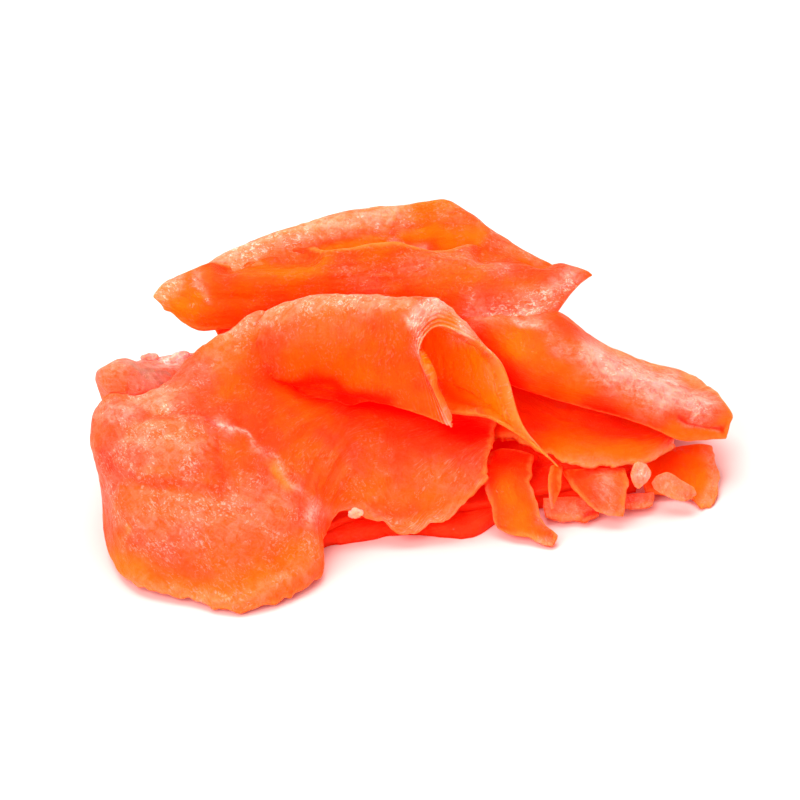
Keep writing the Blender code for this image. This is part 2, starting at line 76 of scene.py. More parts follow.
# Torn borders: how far in they reach, where they start in the grain, and their flakes and notches
EDGE_BAND = 7.0
BITE_LANES = (15.0, 5.0)
FLAKE_PITCH = 3.2
FLAKE_SHARE = 0.65
NOTCH_PITCH = 6.5
NOTCH_LANE = 40.0
NOTCH_LEAST = 0.45
NOTCH_SHARE = 1.4

# Relief: the length and breadth of its lumps and where they start in the grain, then how the pale
# film, which is partly painted sheen, wrinkles it, how it calms down towards the borders, and the
# rings beside a right border
SWELLS = (14, 11, 0.0, 0.0)
DIMPLES = (3.6, 2.8, 0.0, 9.0)
WRINKLES = (1.9, 1.6, 0.0, 5.0)
THREADS = (9, 1.3, 3.0, 0.0)
WRINKLED = 6.0
CALM_BAND = 2.5
CALM_LEAST = 0.3
RING_STEP = 1.1
RING_REACH = 3.6

# Slices: their rounded and thinned borders, and how they bend, lie and cling
ROUNDING = 0.35
THINNING = 1.6
DIP = 0.4
LOWEST_OUTER = 0.3
LOWEST_INNER = 0.02
BEND_ROUNDS = 14
BEND_LEAST = 0.1
BEND_STEP = 0.85
LAY_BAND = 1.5
LAY_GAP = 0.15
LAY_EDGE = 0.4
LAY_BESIDE = 1.0
LAY_UNDER = 5.0
HUG_START = 1.15
HUG_ROUNDS = 5

# Tints, of which the red of the folds is painted shade and the yellow-orange and the pale film are
# partly painted light, the share of pale film and sheen that inner faces keep, and how strokes wander
# and fade where a slice turns away
TINTS = ("film", "fat", "amber", "brown", "deep")
INNER_FILM_AND_SHEEN = 0.5
WANDER = 1.2
WANDER_PITCH = 4
FACING_SLOPE = 2.5
FACING_EDGE_ON = 0.6

# Sizes of what varies in the flesh, in millimetres: along X, Y and Z, or along and across fibres
PATCHES = (13, 13, 13)
CLUSTERS = (6, 6, 6)
CLOUDS = (3.5, 3.5, 3.5)
CRINKLES = (1.3, 1.3, 1.3)
PORES = (0.35, 0.35, 0.35)
FLAKES = (0.9, 0.6, 1)
STREAKS = (16, 1.2, 1)

# Where the noises turn from one look to the other
PATCH_TURN = (0.36, 0.66)
RIM_TURN = (0.0, 1.7)
CLOUD_TURN = (0.4, 0.6)
CRINKLE_TURN = (0.42, 0.6)
STREAK_TURN = (0.42, 0.6)
FLAKE_GLINT_TURN = (0.54, 0.62)
CLUSTER_TURN = (0.44, 0.58)
VEIL_TURN = (0.35, 0.62)
FAT_TURN = (0.35, 0.65)
WET_CRINKLE_TURN = (0.56, 0.7)
WET_PORE_TURN = (0.45, 0.65)

# The flat slice at the bottom: its height, its grid, its torn border, its lumps and its rounding
BASE_HEIGHT = 3.4
BASE_SEED = 3
BASE_STEPS = (12, 20)
BASE_BITES = (0.8, 0.8, 0.8, 0.8)
BASE_LUMPS = (6, 5, 0.0, 0.0)
BASE_SWELL = 0.25
BASE_CALM = 2
BASE_FALL = 1.3
BASE_ROUNDING = 1.8
BASE_RIM = 3.0

# Crumbs: how far in front their place is looked up, their cuts, their lumps and how they lie
CRUMB_START = -80
CRUMB_CUTS = 4
CRUMB_LUMPS = 1.6
CRUMB_SLANT = 1.3
CRUMB_LANE = 9
CRUMB_BUMPS = 0.28
CRUMB_LIFT = 0.35

# Stage, in metres: floor, the height that the lamps point at, lamps with their size and place,
# and how far the camera sees, with its sensor in millimetres
FLOOR_SIZE = 6.0
FLOOR_DROP = 0.0001
LIT_HEIGHT = 0.025
LAMPS = (("key", 0.9, (-0.15, 0.25, 1.0)), ("fill", 0.8, (-0.5, -0.9, 0.7)))
CLIP_END = 100.0
SENSOR_WIDTH = 36.0

# The outer faces of the slices made so far
SHEETS = {}


def seen(across, rise, depth):
    """A point of the heap, in millimetres, from where it is seen and how far back it lies."""
    height = (rise - depth * math.sin(VIEW_TILT)) / math.cos(VIEW_TILT)
    return placed(across, depth, height)


def placed(across, depth, height):
    """A point of the heap in the frame's own axes, in millimetres."""
    return (across - HEAP_CENTRE_ACROSS, depth - HEAP_CENTRE_DEPTH, height)


def as_seen(sheet):
    """Where the points of a sheet are seen: how far across, and how high in the view."""
    rise = sheet[..., 2] * math.cos(VIEW_TILT)
    rise = rise + (sheet[..., 1] + HEAP_CENTRE_DEPTH) * math.sin(VIEW_TILT)
    return sheet[..., 0] + HEAP_CENTRE_ACROSS, rise


def lines(*rows, point=seen):
    """Guide lines as one array: line, point, axis."""
    return np.array([[point(*numbers) for numbers in row] for row in rows])


def span(before, start, end, after, share):
    """A share of the way from start to end on a smooth line through four points."""
    def knot(a, b):
        return np.sqrt(np.linalg.norm(b - a, axis=-1, keepdims=True)) + 1e-9

    t1 = knot(before, start)
    t2 = t1 + knot(start, end)
    t3 = t2 + knot(end, after)
    t = t1 + (t2 - t1) * share
    a1 = before + (start - before) * t / t1
    a2 = start + (end - start) * (t - t1) / (t2 - t1)
    a3 = end + (after - end) * (t - t2) / (t3 - t2)
    b1 = a1 + (a2 - a1) * t / t2
    b2 = a2 + (a3 - a2) * (t - t1) / (t3 - t1)
    return b1 + (b2 - b1) * (t - t1) / (t2 - t1)


def smooth(points, steps):
    """Points on a smooth line through the first axis of an array, steps to each stretch."""
    ends = np.concatenate([[2 * points[0] - points[1]], points, [2 * points[-1] - points[-2]]])
    made = []
    for index in range(len(points) - 1):
        four = ends[index:index + 4]
        made += [span(*four, step / steps) for step in range(steps)]
    return np.array(made + [points[-1]])


def surface(guides, steps_across, steps_back):
    """The sheet through the guide lines, as an array: row, column, axis."""
    rows = smooth(guides, steps_back)
    return smooth(rows.swapaxes(0, 1), steps_across).swapaxes(0, 1)


def eased(value):
    """A share from 0 to 1 that starts and ends gently."""
    value = np.clip(value, 0.0, 1.0)
    return value * value * (3 - 2 * value)


class Grain:
    """Smooth random unevenness over a plane, between -1 and 1, the same on each run."""

    def __init__(self, seed):
        size = (GRAIN_KNOTS, GRAIN_KNOTS)
        self.knots = np.random.default_rng(seed).uniform(-1.0, 1.0, size)

    def plain(self, x, y):
        """Unevenness with one lump to each unit of length."""
        column = np.floor(x).astype(int)
        row = np.floor(y).astype(int)
        along = eased(x - column)
        up = eased(y - row)

        def knot(right, above):
            return self.knots[(row + above) % GRAIN_KNOTS, (column + right) % GRAIN_KNOTS]

        low = knot(0, 0) * (1 - along) + knot(1, 0) * along
        high = knot(0, 1) * (1 - along) + knot(1, 1) * along
        return low * (1 - up) + high * up

    def lumps(self, along, aside, shape):
        """Unevenness in two layers, with a length, a breadth and a place in the grain."""
        length, breadth, right, up = shape
        return self.layered(along / length + right, aside / breadth + up, layers=2)

    def layered(self, x, y, layers):
        """Unevenness with finer lumps on the coarse ones."""
        total = 0.0
        for layer in range(layers):
            finer = 2 ** layer
            right, up = (shift * layer for shift in LAYER_SHIFT)
            total = total + self.plain(x * finer + right, y * finer + up) / finer
        return total


def lengths(sheet, axis):
    """How far each point lies along its own line of the sheet, in millimetres."""
    steps = np.linalg.norm(np.diff(sheet, axis=axis), axis=2)
    return np.insert(steps.cumsum(axis), 0, 0.0, axis=axis)


def normals_of(sheet):
    """The outward direction at each point of a sheet."""
    across = np.gradient(sheet, axis=1)
    back = np.gradient(sheet, axis=0)
    found = np.cross(across, back)
    return found / (np.linalg.norm(found, axis=2, keepdims=True) + 1e-12)


def beside(values):
    """The sum of the four values beside each one, where a border repeats its own."""
    wide = np.pad(values, ((1, 1), (1, 1), (0, 0)), mode="edge")
    return wide[:-2, 1:-1] + wide[2:, 1:-1] + wide[1:-1, :-2] + wide[1:-1, 2:]


def calmed(normals, rounds=8):
    """Directions averaged with those around them, so that fine relief no longer turns them."""
    for _ in range(rounds):
        normals = normals + beside(normals)
        normals = normals / (np.linalg.norm(normals, axis=2, keepdims=True) + 1e-12)
    return normals


def sides_of(sheet):
    """How far each point lies from the front, right, back and left border, in millimetres."""
    across = lengths(sheet, 1)
    back = lengths(sheet, 0)
    return back, across[:, -1:] - across, back[-1:] - back, across


def edge_distance(sheet):
    """How far each point lies from the nearest border of its sheet, in millimetres."""
    return np.minimum.reduce(sides_of(sheet))


def drawn_in(sheet, start, end, grain):
    """The sheet with the two ends of its rows drawn in unevenly by up to start and end."""
    drawn = sheet.copy()
    down = lengths(sheet, 0)
    for row, line in enumerate(sheet):
        along = lengths(line[None], 1)[0]
        total = along[-1]
        moved = along.copy()
        for most, far, column, sign in ((start, along, 0, 1), (end, total - along, -1, -1)):
            shift = most * bite(down[row, column], BITE_LANES[column], grain)
            moved += sign * shift * np.clip(1 - far / EDGE_BAND, 0, 1)
        for axis in range(3):
            drawn[row, :, axis] = np.interp(moved, along, line[:, axis])
    return drawn


def bite(place, lane, grain):
    """How far in a torn border is cut at a place along it, as a share of its bite."""
    flakes = 0.5 + 0.5 * grain.layered(np.array(place / FLAKE_PITCH), np.array(lane), layers=3)
    notch = grain.plain(np.array(place / NOTCH_PITCH), np.array(lane + NOTCH_LANE)) - NOTCH_LEAST
    return np.clip(flakes, 0, 1) * FLAKE_SHARE + np.clip(notch, 0, 1) * NOTCH_SHARE


def ragged(sheet, bites, grain):
    """The sheet with torn borders: bites are for its front, right, back and left side, in mm."""
    front, right, back, left = bites
    sheet = drawn_in(sheet, left, right, grain)
    return drawn_in(sheet.swapaxes(0, 1), front, back, grain).swapaxes(0, 1)


def tree_of(sheet):
    """A sheet's outer face for what lies on it, in millimetres."""
    rows, columns = sheet.shape[:2]
    index = np.arange(rows * columns).reshape(rows, columns)
    corners = [Vector(point) for point in sheet.reshape(-1, 3)]
    return BVHTree.FromPolygons(corners, squares(index).tolist())


def squares(index):
    """The squares of a grid of vertex numbers."""
    ring = (index[:-1, :-1], index[:-1, 1:], index[1:, 1:], index[1:, :-1])
    return np.stack(ring, axis=-1).reshape(-1, 4)


def sheet_below(name):
    """The outer face of a slice that is already made."""
    if name not in SHEETS:
        raise RuntimeError(f"make {name} before what lies on it")
    return tree_of(SHEETS[name])


def clear_of(sheet, names, room):
    """Lift the points of a sheet until they keep their room above the slices below them."""
    lifted = sheet.copy()
    for name in names:
        tree = sheet_below(name)
        lift = np.zeros_like(sheet)
        for place in np.ndindex(sheet.shape[:2]):
            point = Vector(lifted[place])
            near, normal, _, _ = tree.find_nearest(point)
            away = point - near
            height = away.dot(normal)
            aside = (away - normal * height).length
            if aside < LAY_BESIDE and -LAY_UNDER < height < room[place]:
                lift[place] = np.array(normal) * (room[place] - height)
        lifted += softened(lift)
    return lifted


def softened(lift, rounds=3):
    """A lift spread a little over the points around it, and nowhere less than it was."""
    spread = lift
    for _ in range(rounds):
        mean = beside(spread) / 4
        more = np.linalg.norm(mean, axis=2) > np.linalg.norm(spread, axis=2)
        spread = np.where(more[..., None], mean, spread)
    return spread


def hugged(sheet, name, share, sink):
    """Draw a sheet towards the slice below it by a share at each point, and a little into it."""
    tree = sheet_below(name)
    moved = np.zeros_like(sheet)
    for place in np.ndindex(sheet.shape[:2]):
        if share[place] > 0:
            near, normal, _, _ = tree.find_nearest(Vector(sheet[place]))
            target = np.array(near) - np.array(normal) * sink
            moved[place] = (target - sheet[place]) * share[place]
    for _ in range(HUG_ROUNDS):
        moved = (moved + beside(moved)) / 5
    return sheet + moved


def corner_areas(sheet):
    """The area vectors at each square's four corners: corner, row, column, axis."""
    ring = [sheet[:-1, :-1], sheet[:-1, 1:], sheet[1:, 1:], sheet[1:, :-1]]
    return np.array([np.cross(ring[(corner + 1) % 4] - ring[corner], ring[corner - 1] - ring[corner])
                     for corner in range(4)])


def bend_shares(sheet, depth):
    """The share of a depth below a sheet that fits in its tight bends without folding over."""
    normals = normals_of(sheet)
    outer = corner_areas(sheet)
    shares = np.ones(sheet.shape[:2])
    for _ in range(BEND_ROUNDS):
        inner = corner_areas(sheet - normals * (depth * shares)[..., None])
        tight = ((inner * outer).sum(3) < BEND_LEAST * (outer * outer).sum(3)).any(0)
        if not tight.any():
            break
        for rows in (slice(-1), slice(1, None)):
            for columns in (slice(-1), slice(1, None)):
                shares[rows, columns][tight] *= BEND_STEP
    return shares


def stroke_field(places, points, width):
    """How strongly a stroke through some points is seen at each place, from 0 to 1."""
    across, rise = places
    nearest = np.full(across.shape, np.inf)
    for start, end in zip(points, points[1:] or points):
        reach_x, reach_y = end[0] - start[0], end[1] - start[1]
        size = reach_x ** 2 + reach_y ** 2 + 1e-9
        share = ((across - start[0]) * reach_x + (rise - start[1]) * reach_y) / size
        share = np.clip(share, 0, 1)
        nearest = np.minimum(nearest, np.hypot(across - start[0] - share * reach_x,
                                               rise - start[1] - share * reach_y))
    return np.exp(-(nearest / width) ** 2)


def facing(sheet):
    """How far each point turns to the front, where strokes and forms are laid out, from 0 to 1."""
    turned = calmed(normals_of(sheet)) @ np.array(TOWARD_VIEWER)
    return eased(FACING_SLOPE * turned + FACING_EDGE_ON)


def unpainted(sheet):
    """The tints of a sheet before any stroke."""
    return {tint: np.zeros(sheet.shape[:2]) for tint in TINTS}


def painted(sheet, strokes, grain, shown):
    """The tints of a sheet, each from 0 to 1, from strokes: tint, strength, width, points."""
    across, rise = as_seen(sheet)
    wander = WANDER * grain.plain(across / WANDER_PITCH, rise / WANDER_PITCH)
    moved = (across + wander, rise + wander)
    fields = unpainted(sheet)
    for tint, strength, width, points in strokes:
        mark = strength * stroke_field(moved, points, width) * shown
        fields[tint] = np.maximum(fields[tint], mark)
    return fields


def keep_field(mesh, name, outer, inner):
    """Keep a value for each point of a mesh, first of its outer and then of its inner face."""
    both = np.concatenate([outer.reshape(-1), inner.reshape(-1)])
    layer = mesh.attributes.new(name, "FLOAT", "POINT")
    layer.data.foreach_set("value", both.astype(np.float32))


def mesh_of(name, outer, inner, fields, fibre, lining_glow=0.0):
    """A closed mesh from a slice's outer and inner face, with its tints and fibre directions.

    The inner face has less of the pale film and painted sheen, and at least the share of
    yellow-orange
    that the lining gives: painted light through the thin wall, which also glows by the lining's
    share.
    """
    rows, columns = outer.shape[:2]
    count = rows * columns
    index = np.arange(count).reshape(rows, columns)
    around = np.concatenate([index[0], index[1:, -1], index[-1, -2::-1], index[-2:0:-1, 0]])
    after = np.roll(around, -1)
    top = squares(index)
    rim = np.stack([after, around, around + count, after + count], axis=-1)
    faces = np.concatenate([top, top[:, ::-1] + count, rim])
    points = np.concatenate([outer.reshape(-1, 3), inner.reshape(-1, 3)]) * MM
    mesh = bpy.data.meshes.new(name)
    mesh.from_pydata(points.tolist(), [], faces.tolist())
    inside = dict(fields)
    inside["film"] = fields["film"] * INNER_FILM_AND_SHEEN
    inside["amber"] = np.maximum(fields["amber"], lining_glow)
    for field, values in fields.items():
        keep_field(mesh, field, values, inside[field])
    # Painted glow: the share by which the inner face emits the bright orange of light through a thin
    # wall instead of the dark red.
    keep_field(mesh, "glow", np.zeros(count), np.full(count, lining_glow))
    corner = np.zeros(len(mesh.loops), np.int32)
    mesh.loops.foreach_get("vertex_index", corner)
    flat = np.tile(np.stack(fibre, axis=-1).reshape(-1, 2), (2, 1))[corner]
    mesh.uv_layers.new(name="fibre").data.foreach_set("uv", flat.reshape(-1).astype(np.float32))
    mesh.shade_smooth()
    return mesh


def show(name, mesh, finish, nodes=(), slot=None):
    """Put a piece into the heap, with its finish, in place of the frame's nodes."""
    made = bpy.data.objects.new(name, mesh)
    bpy.context.scene.collection.objects.link(made)
    mesh.materials.append(finish)
    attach(made, BODY)
    if nodes:
        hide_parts(*nodes)
    slot or nodes[0] + "_flesh"


def front_slice():
    """The large slice in front: it drapes over the left end and slopes down to a ragged hem."""
    hem = [(-63, 24, 46), (-68, 14.8, 27), (-62, 5.4, 8.5), (-49, 2, 2), (-37, -0.4, -2.5),
           (-25, 2.8, 3.5), (-17.5, 7.7, 13), (-17, 15, 24), (-13, 22.8, 30), (1, 17, 28.5),
           (12.5, 21.2, 31), (20, 30.4, 35)]
    low = [(-65.5, 31, 50), (-69.5, 28, 31), (-62, 16.6, 12), (-49, 13, 6.5), (-37, 12, 5),
           (-26.5, 14.3, 9), (-20, 17.7, 15), (-19, 21.6, 21), (-12.5, 26, 31), (0, 22.8, 31),
           (11.5, 26, 33.5), (20, 33, 38)]
    middle = [(-66, 37.5, 53), (-71.5, 38.4, 36), (-62, 30.4, 20), (-49, 27, 13.5),
              (-37, 24.6, 12.5), (-27.5, 25.8, 16.5), (-22, 28, 22), (-18.4, 30.4, 28),
              (-11.5, 33.8, 35.5), (0, 31.5, 36), (11.5, 33.8, 38), (21, 37.5, 42)]
    crease = [(-65, 42, 55.5), (-70.5, 45.5, 42), (-62, 43, 32), (-50, 44.2, 28.5), (-40, 41.9, 27.5),
              (-31.5, 40.7, 30), (-24, 41.9, 35.5), (-17, 41.9, 40), (-10.3, 41.9, 43),
              (0, 39.6, 43), (11.5, 39.6, 45), (22, 40.5, 47)]
    mouth = [(-62, 43.5, 58), (-68, 50, 49), (-60, 49.5, 45.5), (-50, 51.5, 42), (-40, 52, 42),
             (-31.7, 53, 46), (-23, 49, 47), (-16, 47.5, 49), (-9, 46, 50), (0, 44, 50),
             (11.5, 43, 51), (22, 42.5, 52)]
    crest = [(-58, 42.5, 61), (-63, 48.5, 57), (-56, 50, 57), (-49, 58.5, 54), (-39.6, 65, 57),
             (-32, 69, 60), (-24, 52, 60), (-14, 50, 61), (-7, 49, 61), (2, 48, 61),
             (13, 46.5, 61), (23, 46, 61)]
    tuck = [(-53, 42, 64), (-57, 47.5, 63), (-53, 50, 63), (-46.5, 55.5, 63), (-38.5, 60, 65),
            (-31, 60, 66), (-22, 54, 67), (-12, 53, 68), (-4, 52, 68), (5, 51, 68),
            (14, 50, 68), (23, 49.5, 67)]
    return lines(hem, low, middle, crease, mouth, crest, tuck)


def pleat_slice():
    """The fold above the front slice: a front leg, a crown and a back leg, open at the right."""
    tuck = [(-31.5, 53.5, 54), (-26.5, 52.5, 54), (-19.5, 51, 53.5), (-10.5, 48.8, 50),
            (-1.2, 46.9, 43), (6.8, 44, 41), (11.8, 41.8, 38.8)]
    under = [(-32, 56, 47), (-27, 55, 46.5), (-20, 53.2, 46.5), (-10, 50.5, 44), (-1, 47.5, 42),
             (7, 44.5, 40.5), (12, 42.2, 38.5)]
    front = [(-32.5, 62, 48), (-27, 62.5, 47), (-19, 62, 46), (-9, 60.5, 44), (-1, 57.5, 43),
             (4.5, 55, 42), (8, 50.5, 40.5)]
    brow = [(-32.5, 68, 54), (-27, 69.5, 53.5), (-20, 70.5, 53), (-10, 70.3, 52), (-3, 69.5, 50),
            (1.5, 67, 47), (4.5, 60, 43)]
    crown = [(-31.5, 71.2, 60), (-27, 72.8, 60), (-20, 73.4, 59), (-10, 73.4, 58), (-2, 72.8, 57),
             (8, 72, 53), (8.5, 65.5, 48)]
    back = [(-31, 67, 65), (-26, 68, 65.5), (-18, 68, 65), (-8, 68, 65), (3, 67.5, 64),
            (14, 66, 59), (22.8, 58.4, 50)]
    heel = [(-30, 64.5, 69.5), (-24, 62, 68.5), (-15, 60, 68), (-3, 59, 67), (7, 55, 63),
            (18, 50, 55.5), (29, 42.5, 44)]
    toe = [(-29, 62, 70.5), (-23, 56.5, 67), (-13, 54.5, 65), (-2, 52.5, 61), (9.5, 45.8, 50),
           (22, 43.3, 46), (37, 33.2, 38.5)]
    return lines(tuck, under, front, brow, crown, back, heel, toe)


def top_slice():
    """The slice on top: a tongue at the left, a sharp tip at the right and a free rim behind."""
    lip = [(-54.5, 70, 66), (-48, 65, 64), (-38, 65, 66), (-23, 67, 71.5), (0, 67, 72),
           (18, 69, 64), (28, 68.6, 62), (36.8, 69.4, 66)]
    face = [(-57.5, 73, 68), (-47, 72, 66), (-35, 71.5, 67.5), (-17, 74, 71), (1, 74, 71.5),
            (16, 75, 69), (29, 74.5, 67.5), (41, 74.4, 72.5)]
    hill = [(-56.8, 75, 70), (-45, 78, 70), (-33, 78.5, 71), (-16, 80, 73.5), (0, 79.5, 74),
            (14, 80, 74), (28, 79.5, 74), (45, 78.6, 76.2)]
    rim = [(-54.5, 77, 75), (-44, 81.5, 77), (-32, 84, 79), (-13, 84.6, 77.4), (-2, 86, 77.6),
           (8, 84, 77.5), (21, 86, 80.5), (41, 79.4, 79)]
    return lines(lip, face, hill, rim)


def crest_slice():
    """The slice behind the top one: it rises from the pocket to the crest and falls behind."""
    root = [(-49, 71, 73), (-43, 75, 74.5), (-31, 76.5, 75), (-14, 77, 75), (1, 76.5, 75),
            (12, 77, 76), (23, 77, 76), (36, 74, 76)]
    pocket = [(-50.5, 74, 76.5), (-43.5, 79, 79), (-31, 82, 80), (-14, 82, 80), (1, 81, 80.5),
              (12, 81, 81.5), (23.5, 81, 80.5), (38, 76.5, 79)]
    rise = [(-50.5, 76, 79.5), (-43, 82, 82), (-29, 87, 83), (-13, 89.5, 83.5), (1, 88, 84),
            (11.5, 88.5, 85), (23, 84.5, 83.5), (38, 78.4, 81.5)]
    crest = [(-49, 75.7, 83), (-41, 83, 85), (-27, 88.5, 86), (-12, 92.6, 87), (2, 93.8, 87.5),
             (11, 95, 88.5), (22.5, 87.6, 87.5), (36.3, 80.2, 85)]
    brink = [(-48, 73, 88), (-40, 82, 90), (-26, 87.8, 92), (-11, 92, 93), (3, 93.2, 93.5),
             (12, 94.2, 94), (23, 87, 92), (36, 78.5, 89.5)]
    back = [(-46, 69, 92), (-37, 76, 95), (-24, 82, 97), (-10, 86, 98.5), (4, 87, 99),
            (14, 87, 98.5), (25, 80, 95), (33, 75.5, 92.5)]
    tail = [(-43, 64, 94), (-33, 69, 99), (-21, 73, 102), (-8, 75, 104), (6, 76, 104.5),
            (17, 75, 103), (26, 70, 99), (32, 68.5, 95)]
    return lines(root, pocket, rise, crest, brink, back, tail)


def right_slice():
    """The slice on the right: it bulges beside the fold and falls away as a flat flap."""
    edge = [(14, 56, 67), (22, 53.5, 62), (28, 51, 58.5), (37, 48, 58), (46, 45.6, 57),
            (55, 43, 56), (66, 39, 55.6), (76.4, 39.6, 59.6)]
    bulge = [(13.5, 61, 66), (21.5, 60.3, 60), (29, 57.5, 52.5), (38, 54.7, 52), (46, 51, 53),
             (55.5, 46.5, 54), (66, 43.8, 56.5), (77.3, 43.2, 62)]
    ridge = [(13, 66, 67), (20, 66.3, 63), (30, 66.5, 61.5), (37.5, 66, 61.5), (44.5, 60.6, 59.5),
             (53, 54, 58.5), (66, 48.5, 61), (77.9, 45.4, 66)]
    flap = [(12, 68, 69.5), (19, 68.6, 66.5), (29, 69.6, 66.5), (36.5, 69.4, 68), (48.5, 60, 69),
            (57.5, 55.4, 69), (69, 51.2, 70), (75.7, 49, 71)]
    brow = [(11, 66.5, 77), (18, 66, 77), (29, 67, 77), (38, 66.3, 78), (49.5, 61, 80),
            (59, 57.3, 81), (68.5, 54.7, 80.5), (74, 51, 77)]
    back = [(13, 68, 89), (20, 68, 89), (30, 66.5, 90), (39, 63, 91), (49, 56.5, 91),
            (58, 52.5, 90), (67, 50.5, 87), (72.5, 49.3, 81.5)]
    return lines(edge, bulge, ridge, flap, brow, back)


def mid_right_slice():
    """The slice under the fold and the flap, with a ragged lower edge."""
    edge = [(15, 39.5, 61), (23.5, 41, 57), (29.5, 38.5, 53), (37, 34.3, 45), (44, 33.4, 44.5),
            (52.5, 33.2, 46), (59, 34.5, 49), (64, 38.8, 57)]
    slope = [(15, 41, 64), (23.5, 42, 60), (30, 41.5, 57), (37.5, 39.6, 50), (45.5, 39, 49.5),
             (54, 38, 51), (60, 38.5, 54), (64.3, 40.5, 61)]
    shelf = [(15.5, 43, 67), (24, 44.7, 64), (30, 44.7, 62), (37.5, 44.2, 59), (46.5, 43, 58),
             (55, 41, 59), (60.5, 41, 61), (63.5, 42, 65.5)]
    under = [(16, 49, 76), (24, 53, 76), (29.5, 52, 74), (37, 50.5, 73), (47, 48.2, 72),
             (55, 45, 71), (60, 44, 71), (62.5, 44, 71)]
    return lines(edge, slope, shelf, under)


def left_back_slice():
    """The slice behind the left end: a rolled lobe in front and brown meat on its back."""
    lobe = [(-67, 45, 58), (-70, 51.5, 51.5), (-65, 51.8, 50.5), (-60, 51.8, 51.5),
            (-56, 52, 55)]
    bulge = [(-68.5, 47, 59), (-71, 54.3, 54), (-66, 55.7, 51.5), (-60, 55, 53), (-53.5, 53.2, 58)]
    top = [(-68.5, 46.5, 63), (-69.5, 55.3, 60), (-65, 58.2, 56.5), (-58.5, 57, 58.5),
           (-51.5, 55.2, 62)]
    dip = [(-67, 46, 67), (-68, 55, 64), (-63, 57.3, 63), (-57, 57, 64), (-47.5, 57.5, 67)]
    ledge = [(-65.5, 45.5, 74), (-65, 54.5, 71), (-60, 58, 70.5), (-54, 59.5, 71), (-46.5, 60, 72)]
    back = [(-62.5, 45.5, 81), (-61, 50, 80), (-56, 53.5, 81), (-50, 56, 81.5), (-44, 58, 81.5)]
    heel = [(-60, 44.2, 85.5), (-59, 44.2, 85.5), (-55, 45, 86.5), (-49, 46.5, 86.5),
            (-43, 50, 85)]
    return lines(lobe, bulge, top, dip, ledge, back, heel)


def back_left_slice():
    """The slice that hangs down behind, from under the crest to the floor."""
    head = [(-44, 82, 22), (-34, 84, 30), (-18, 88, 35), (-4, 90, 36), (14, 89, 34)]
    neck = [(-48, 88, 19), (-36, 92, 24), (-20, 97, 26), (-4, 99, 27), (18, 98, 25)]
    fall = [(-50, 91, 11), (-37, 97, 14), (-20, 103, 14), (-3, 104, 15), (22, 103, 14)]
    hem = [(-50, 93, 1.4), (-38, 101, 1.4), (-20, 108, 1.4), (-2, 107, 3), (25, 106, 1.4)]
    return lines(head, neck, fall, hem, point=placed)


def back_right_fold():
    """The slice that hangs down behind the flap."""
    head = [(8, 83, 25), (27, 83, 20.5), (42, 82, 13.5), (55, 80, 7), (66, 76, 4)]
    neck = [(9, 93, 24), (28, 93, 20), (43, 92, 11), (57, 89, 5.5), (68, 82, 3.5)]
    hem = [(11, 98, 1.5), (30, 101, 1.4), (44, 100, 1.4), (58, 95, 1.4), (70, 86, 1.4)]
    return lines(head, neck, hem, point=placed)


def back_right_slice():
    """The slice low on the right, with a scalloped edge."""
    front = [(57, 27.5, 50), (67, 26.5, 49.5), (70.5, 23.5, 45.2), (74, 26.4, 50)]
    middle = [(56.5, 31, 55), (66, 32, 56), (71, 30.5, 55), (75.6, 30.2, 57)]
    step = [(57, 35.7, 61), (66.5, 36.5, 63), (70.5, 36, 62.5), (74.4, 34.8, 63)]
    root = [(57.5, 38, 67), (66, 38.5, 68), (70.5, 39, 68.5), (73.6, 38.5, 69)]
    return lines(front, middle, step, root)


def small_chunk():
    """The small chunk that lies in front of the slice low on the right."""
    foot = [(58.9, 27.8, 45.2), (62.2, 25.9, 43.8), (65.8, 24.7, 43), (68.2, 25.8, 44.2)]
    belly = [(58.3, 29.6, 46.4), (62.6, 28.9, 45.2), (66.4, 27.4, 44.6), (69.4, 27, 45.4)]
    top = [(59.3, 31.2, 48.4), (62.4, 32.3, 48.6), (66, 30.3, 48.4), (68.8, 28.7, 47.6)]
    return lines(foot, belly, top)


def front_tongue():
    """The tongue that hangs out in front and curls on the floor."""
    end = [(22.6, 17.8, 33.2), (25.8, 16.5, 30.6), (30.5, 15.6, 29), (36, 14.7, 27.4)]
    foot = [(20.9, 20.8, 35), (25, 19.8, 33), (31, 18.6, 31.4), (36.9, 17.6, 30.4)]
    heel = [(20.5, 22.9, 36.4), (24.6, 22.3, 35.2), (29.5, 21.2, 34.4), (34.3, 20.1, 34)]
    ankle = [(20.1, 25.2, 38), (24, 25.2, 37.4), (28.4, 24.6, 36.8), (32.8, 23.4, 37)]
    waist = [(19.4, 29.4, 42), (23.4, 29.7, 42), (27.6, 29.3, 41.6), (31.8, 28.6, 41.6)]
    neck = [(19.6, 33.5, 49), (23.5, 34, 49.5), (27.6, 33.8, 49), (31.5, 33, 48.4)]
    root = [(20.8, 37, 56.5), (24, 37.8, 57), (28, 37.5, 56), (31.5, 36.4, 54.8)]
    return lines(end, foot, heel, ankle, waist, neck, root)


def thin_sliver():
    """The thin sliver that hangs beside the tongue."""
    point = [(34.9, 23.5, 37.6), (35.3, 23.2, 37.4), (35.8, 23.7, 37.6)]
    middle = [(34.3, 27.8, 39.6), (35.7, 27.2, 38.8), (37.3, 27.4, 39.4)]
    neck = [(34.3, 31, 43), (36, 31.2, 42.6), (37.7, 31, 43)]
    root = [(34.9, 33.6, 48), (36.5, 34, 48), (38, 33.6, 48)]
    return lines(point, middle, neck, root)


def round_tongue():
    """The short round tongue between the front one and the small chunk."""
    end = [(45.6, 22.5, 38.4), (49, 21.2, 37.2), (52.2, 21, 37.4)]
    belly = [(42.8, 24.8, 40), (47.8, 25.2, 38.4), (53.2, 25.4, 39.2)]
    shoulder = [(39.8, 28.2, 43), (46.3, 29.4, 41.4), (53.4, 29.4, 42.4)]
    root = [(37.4, 33, 49.5), (45, 33.4, 48.5), (52.6, 33.2, 49.5)]
    return lines(end, belly, shoulder, root)


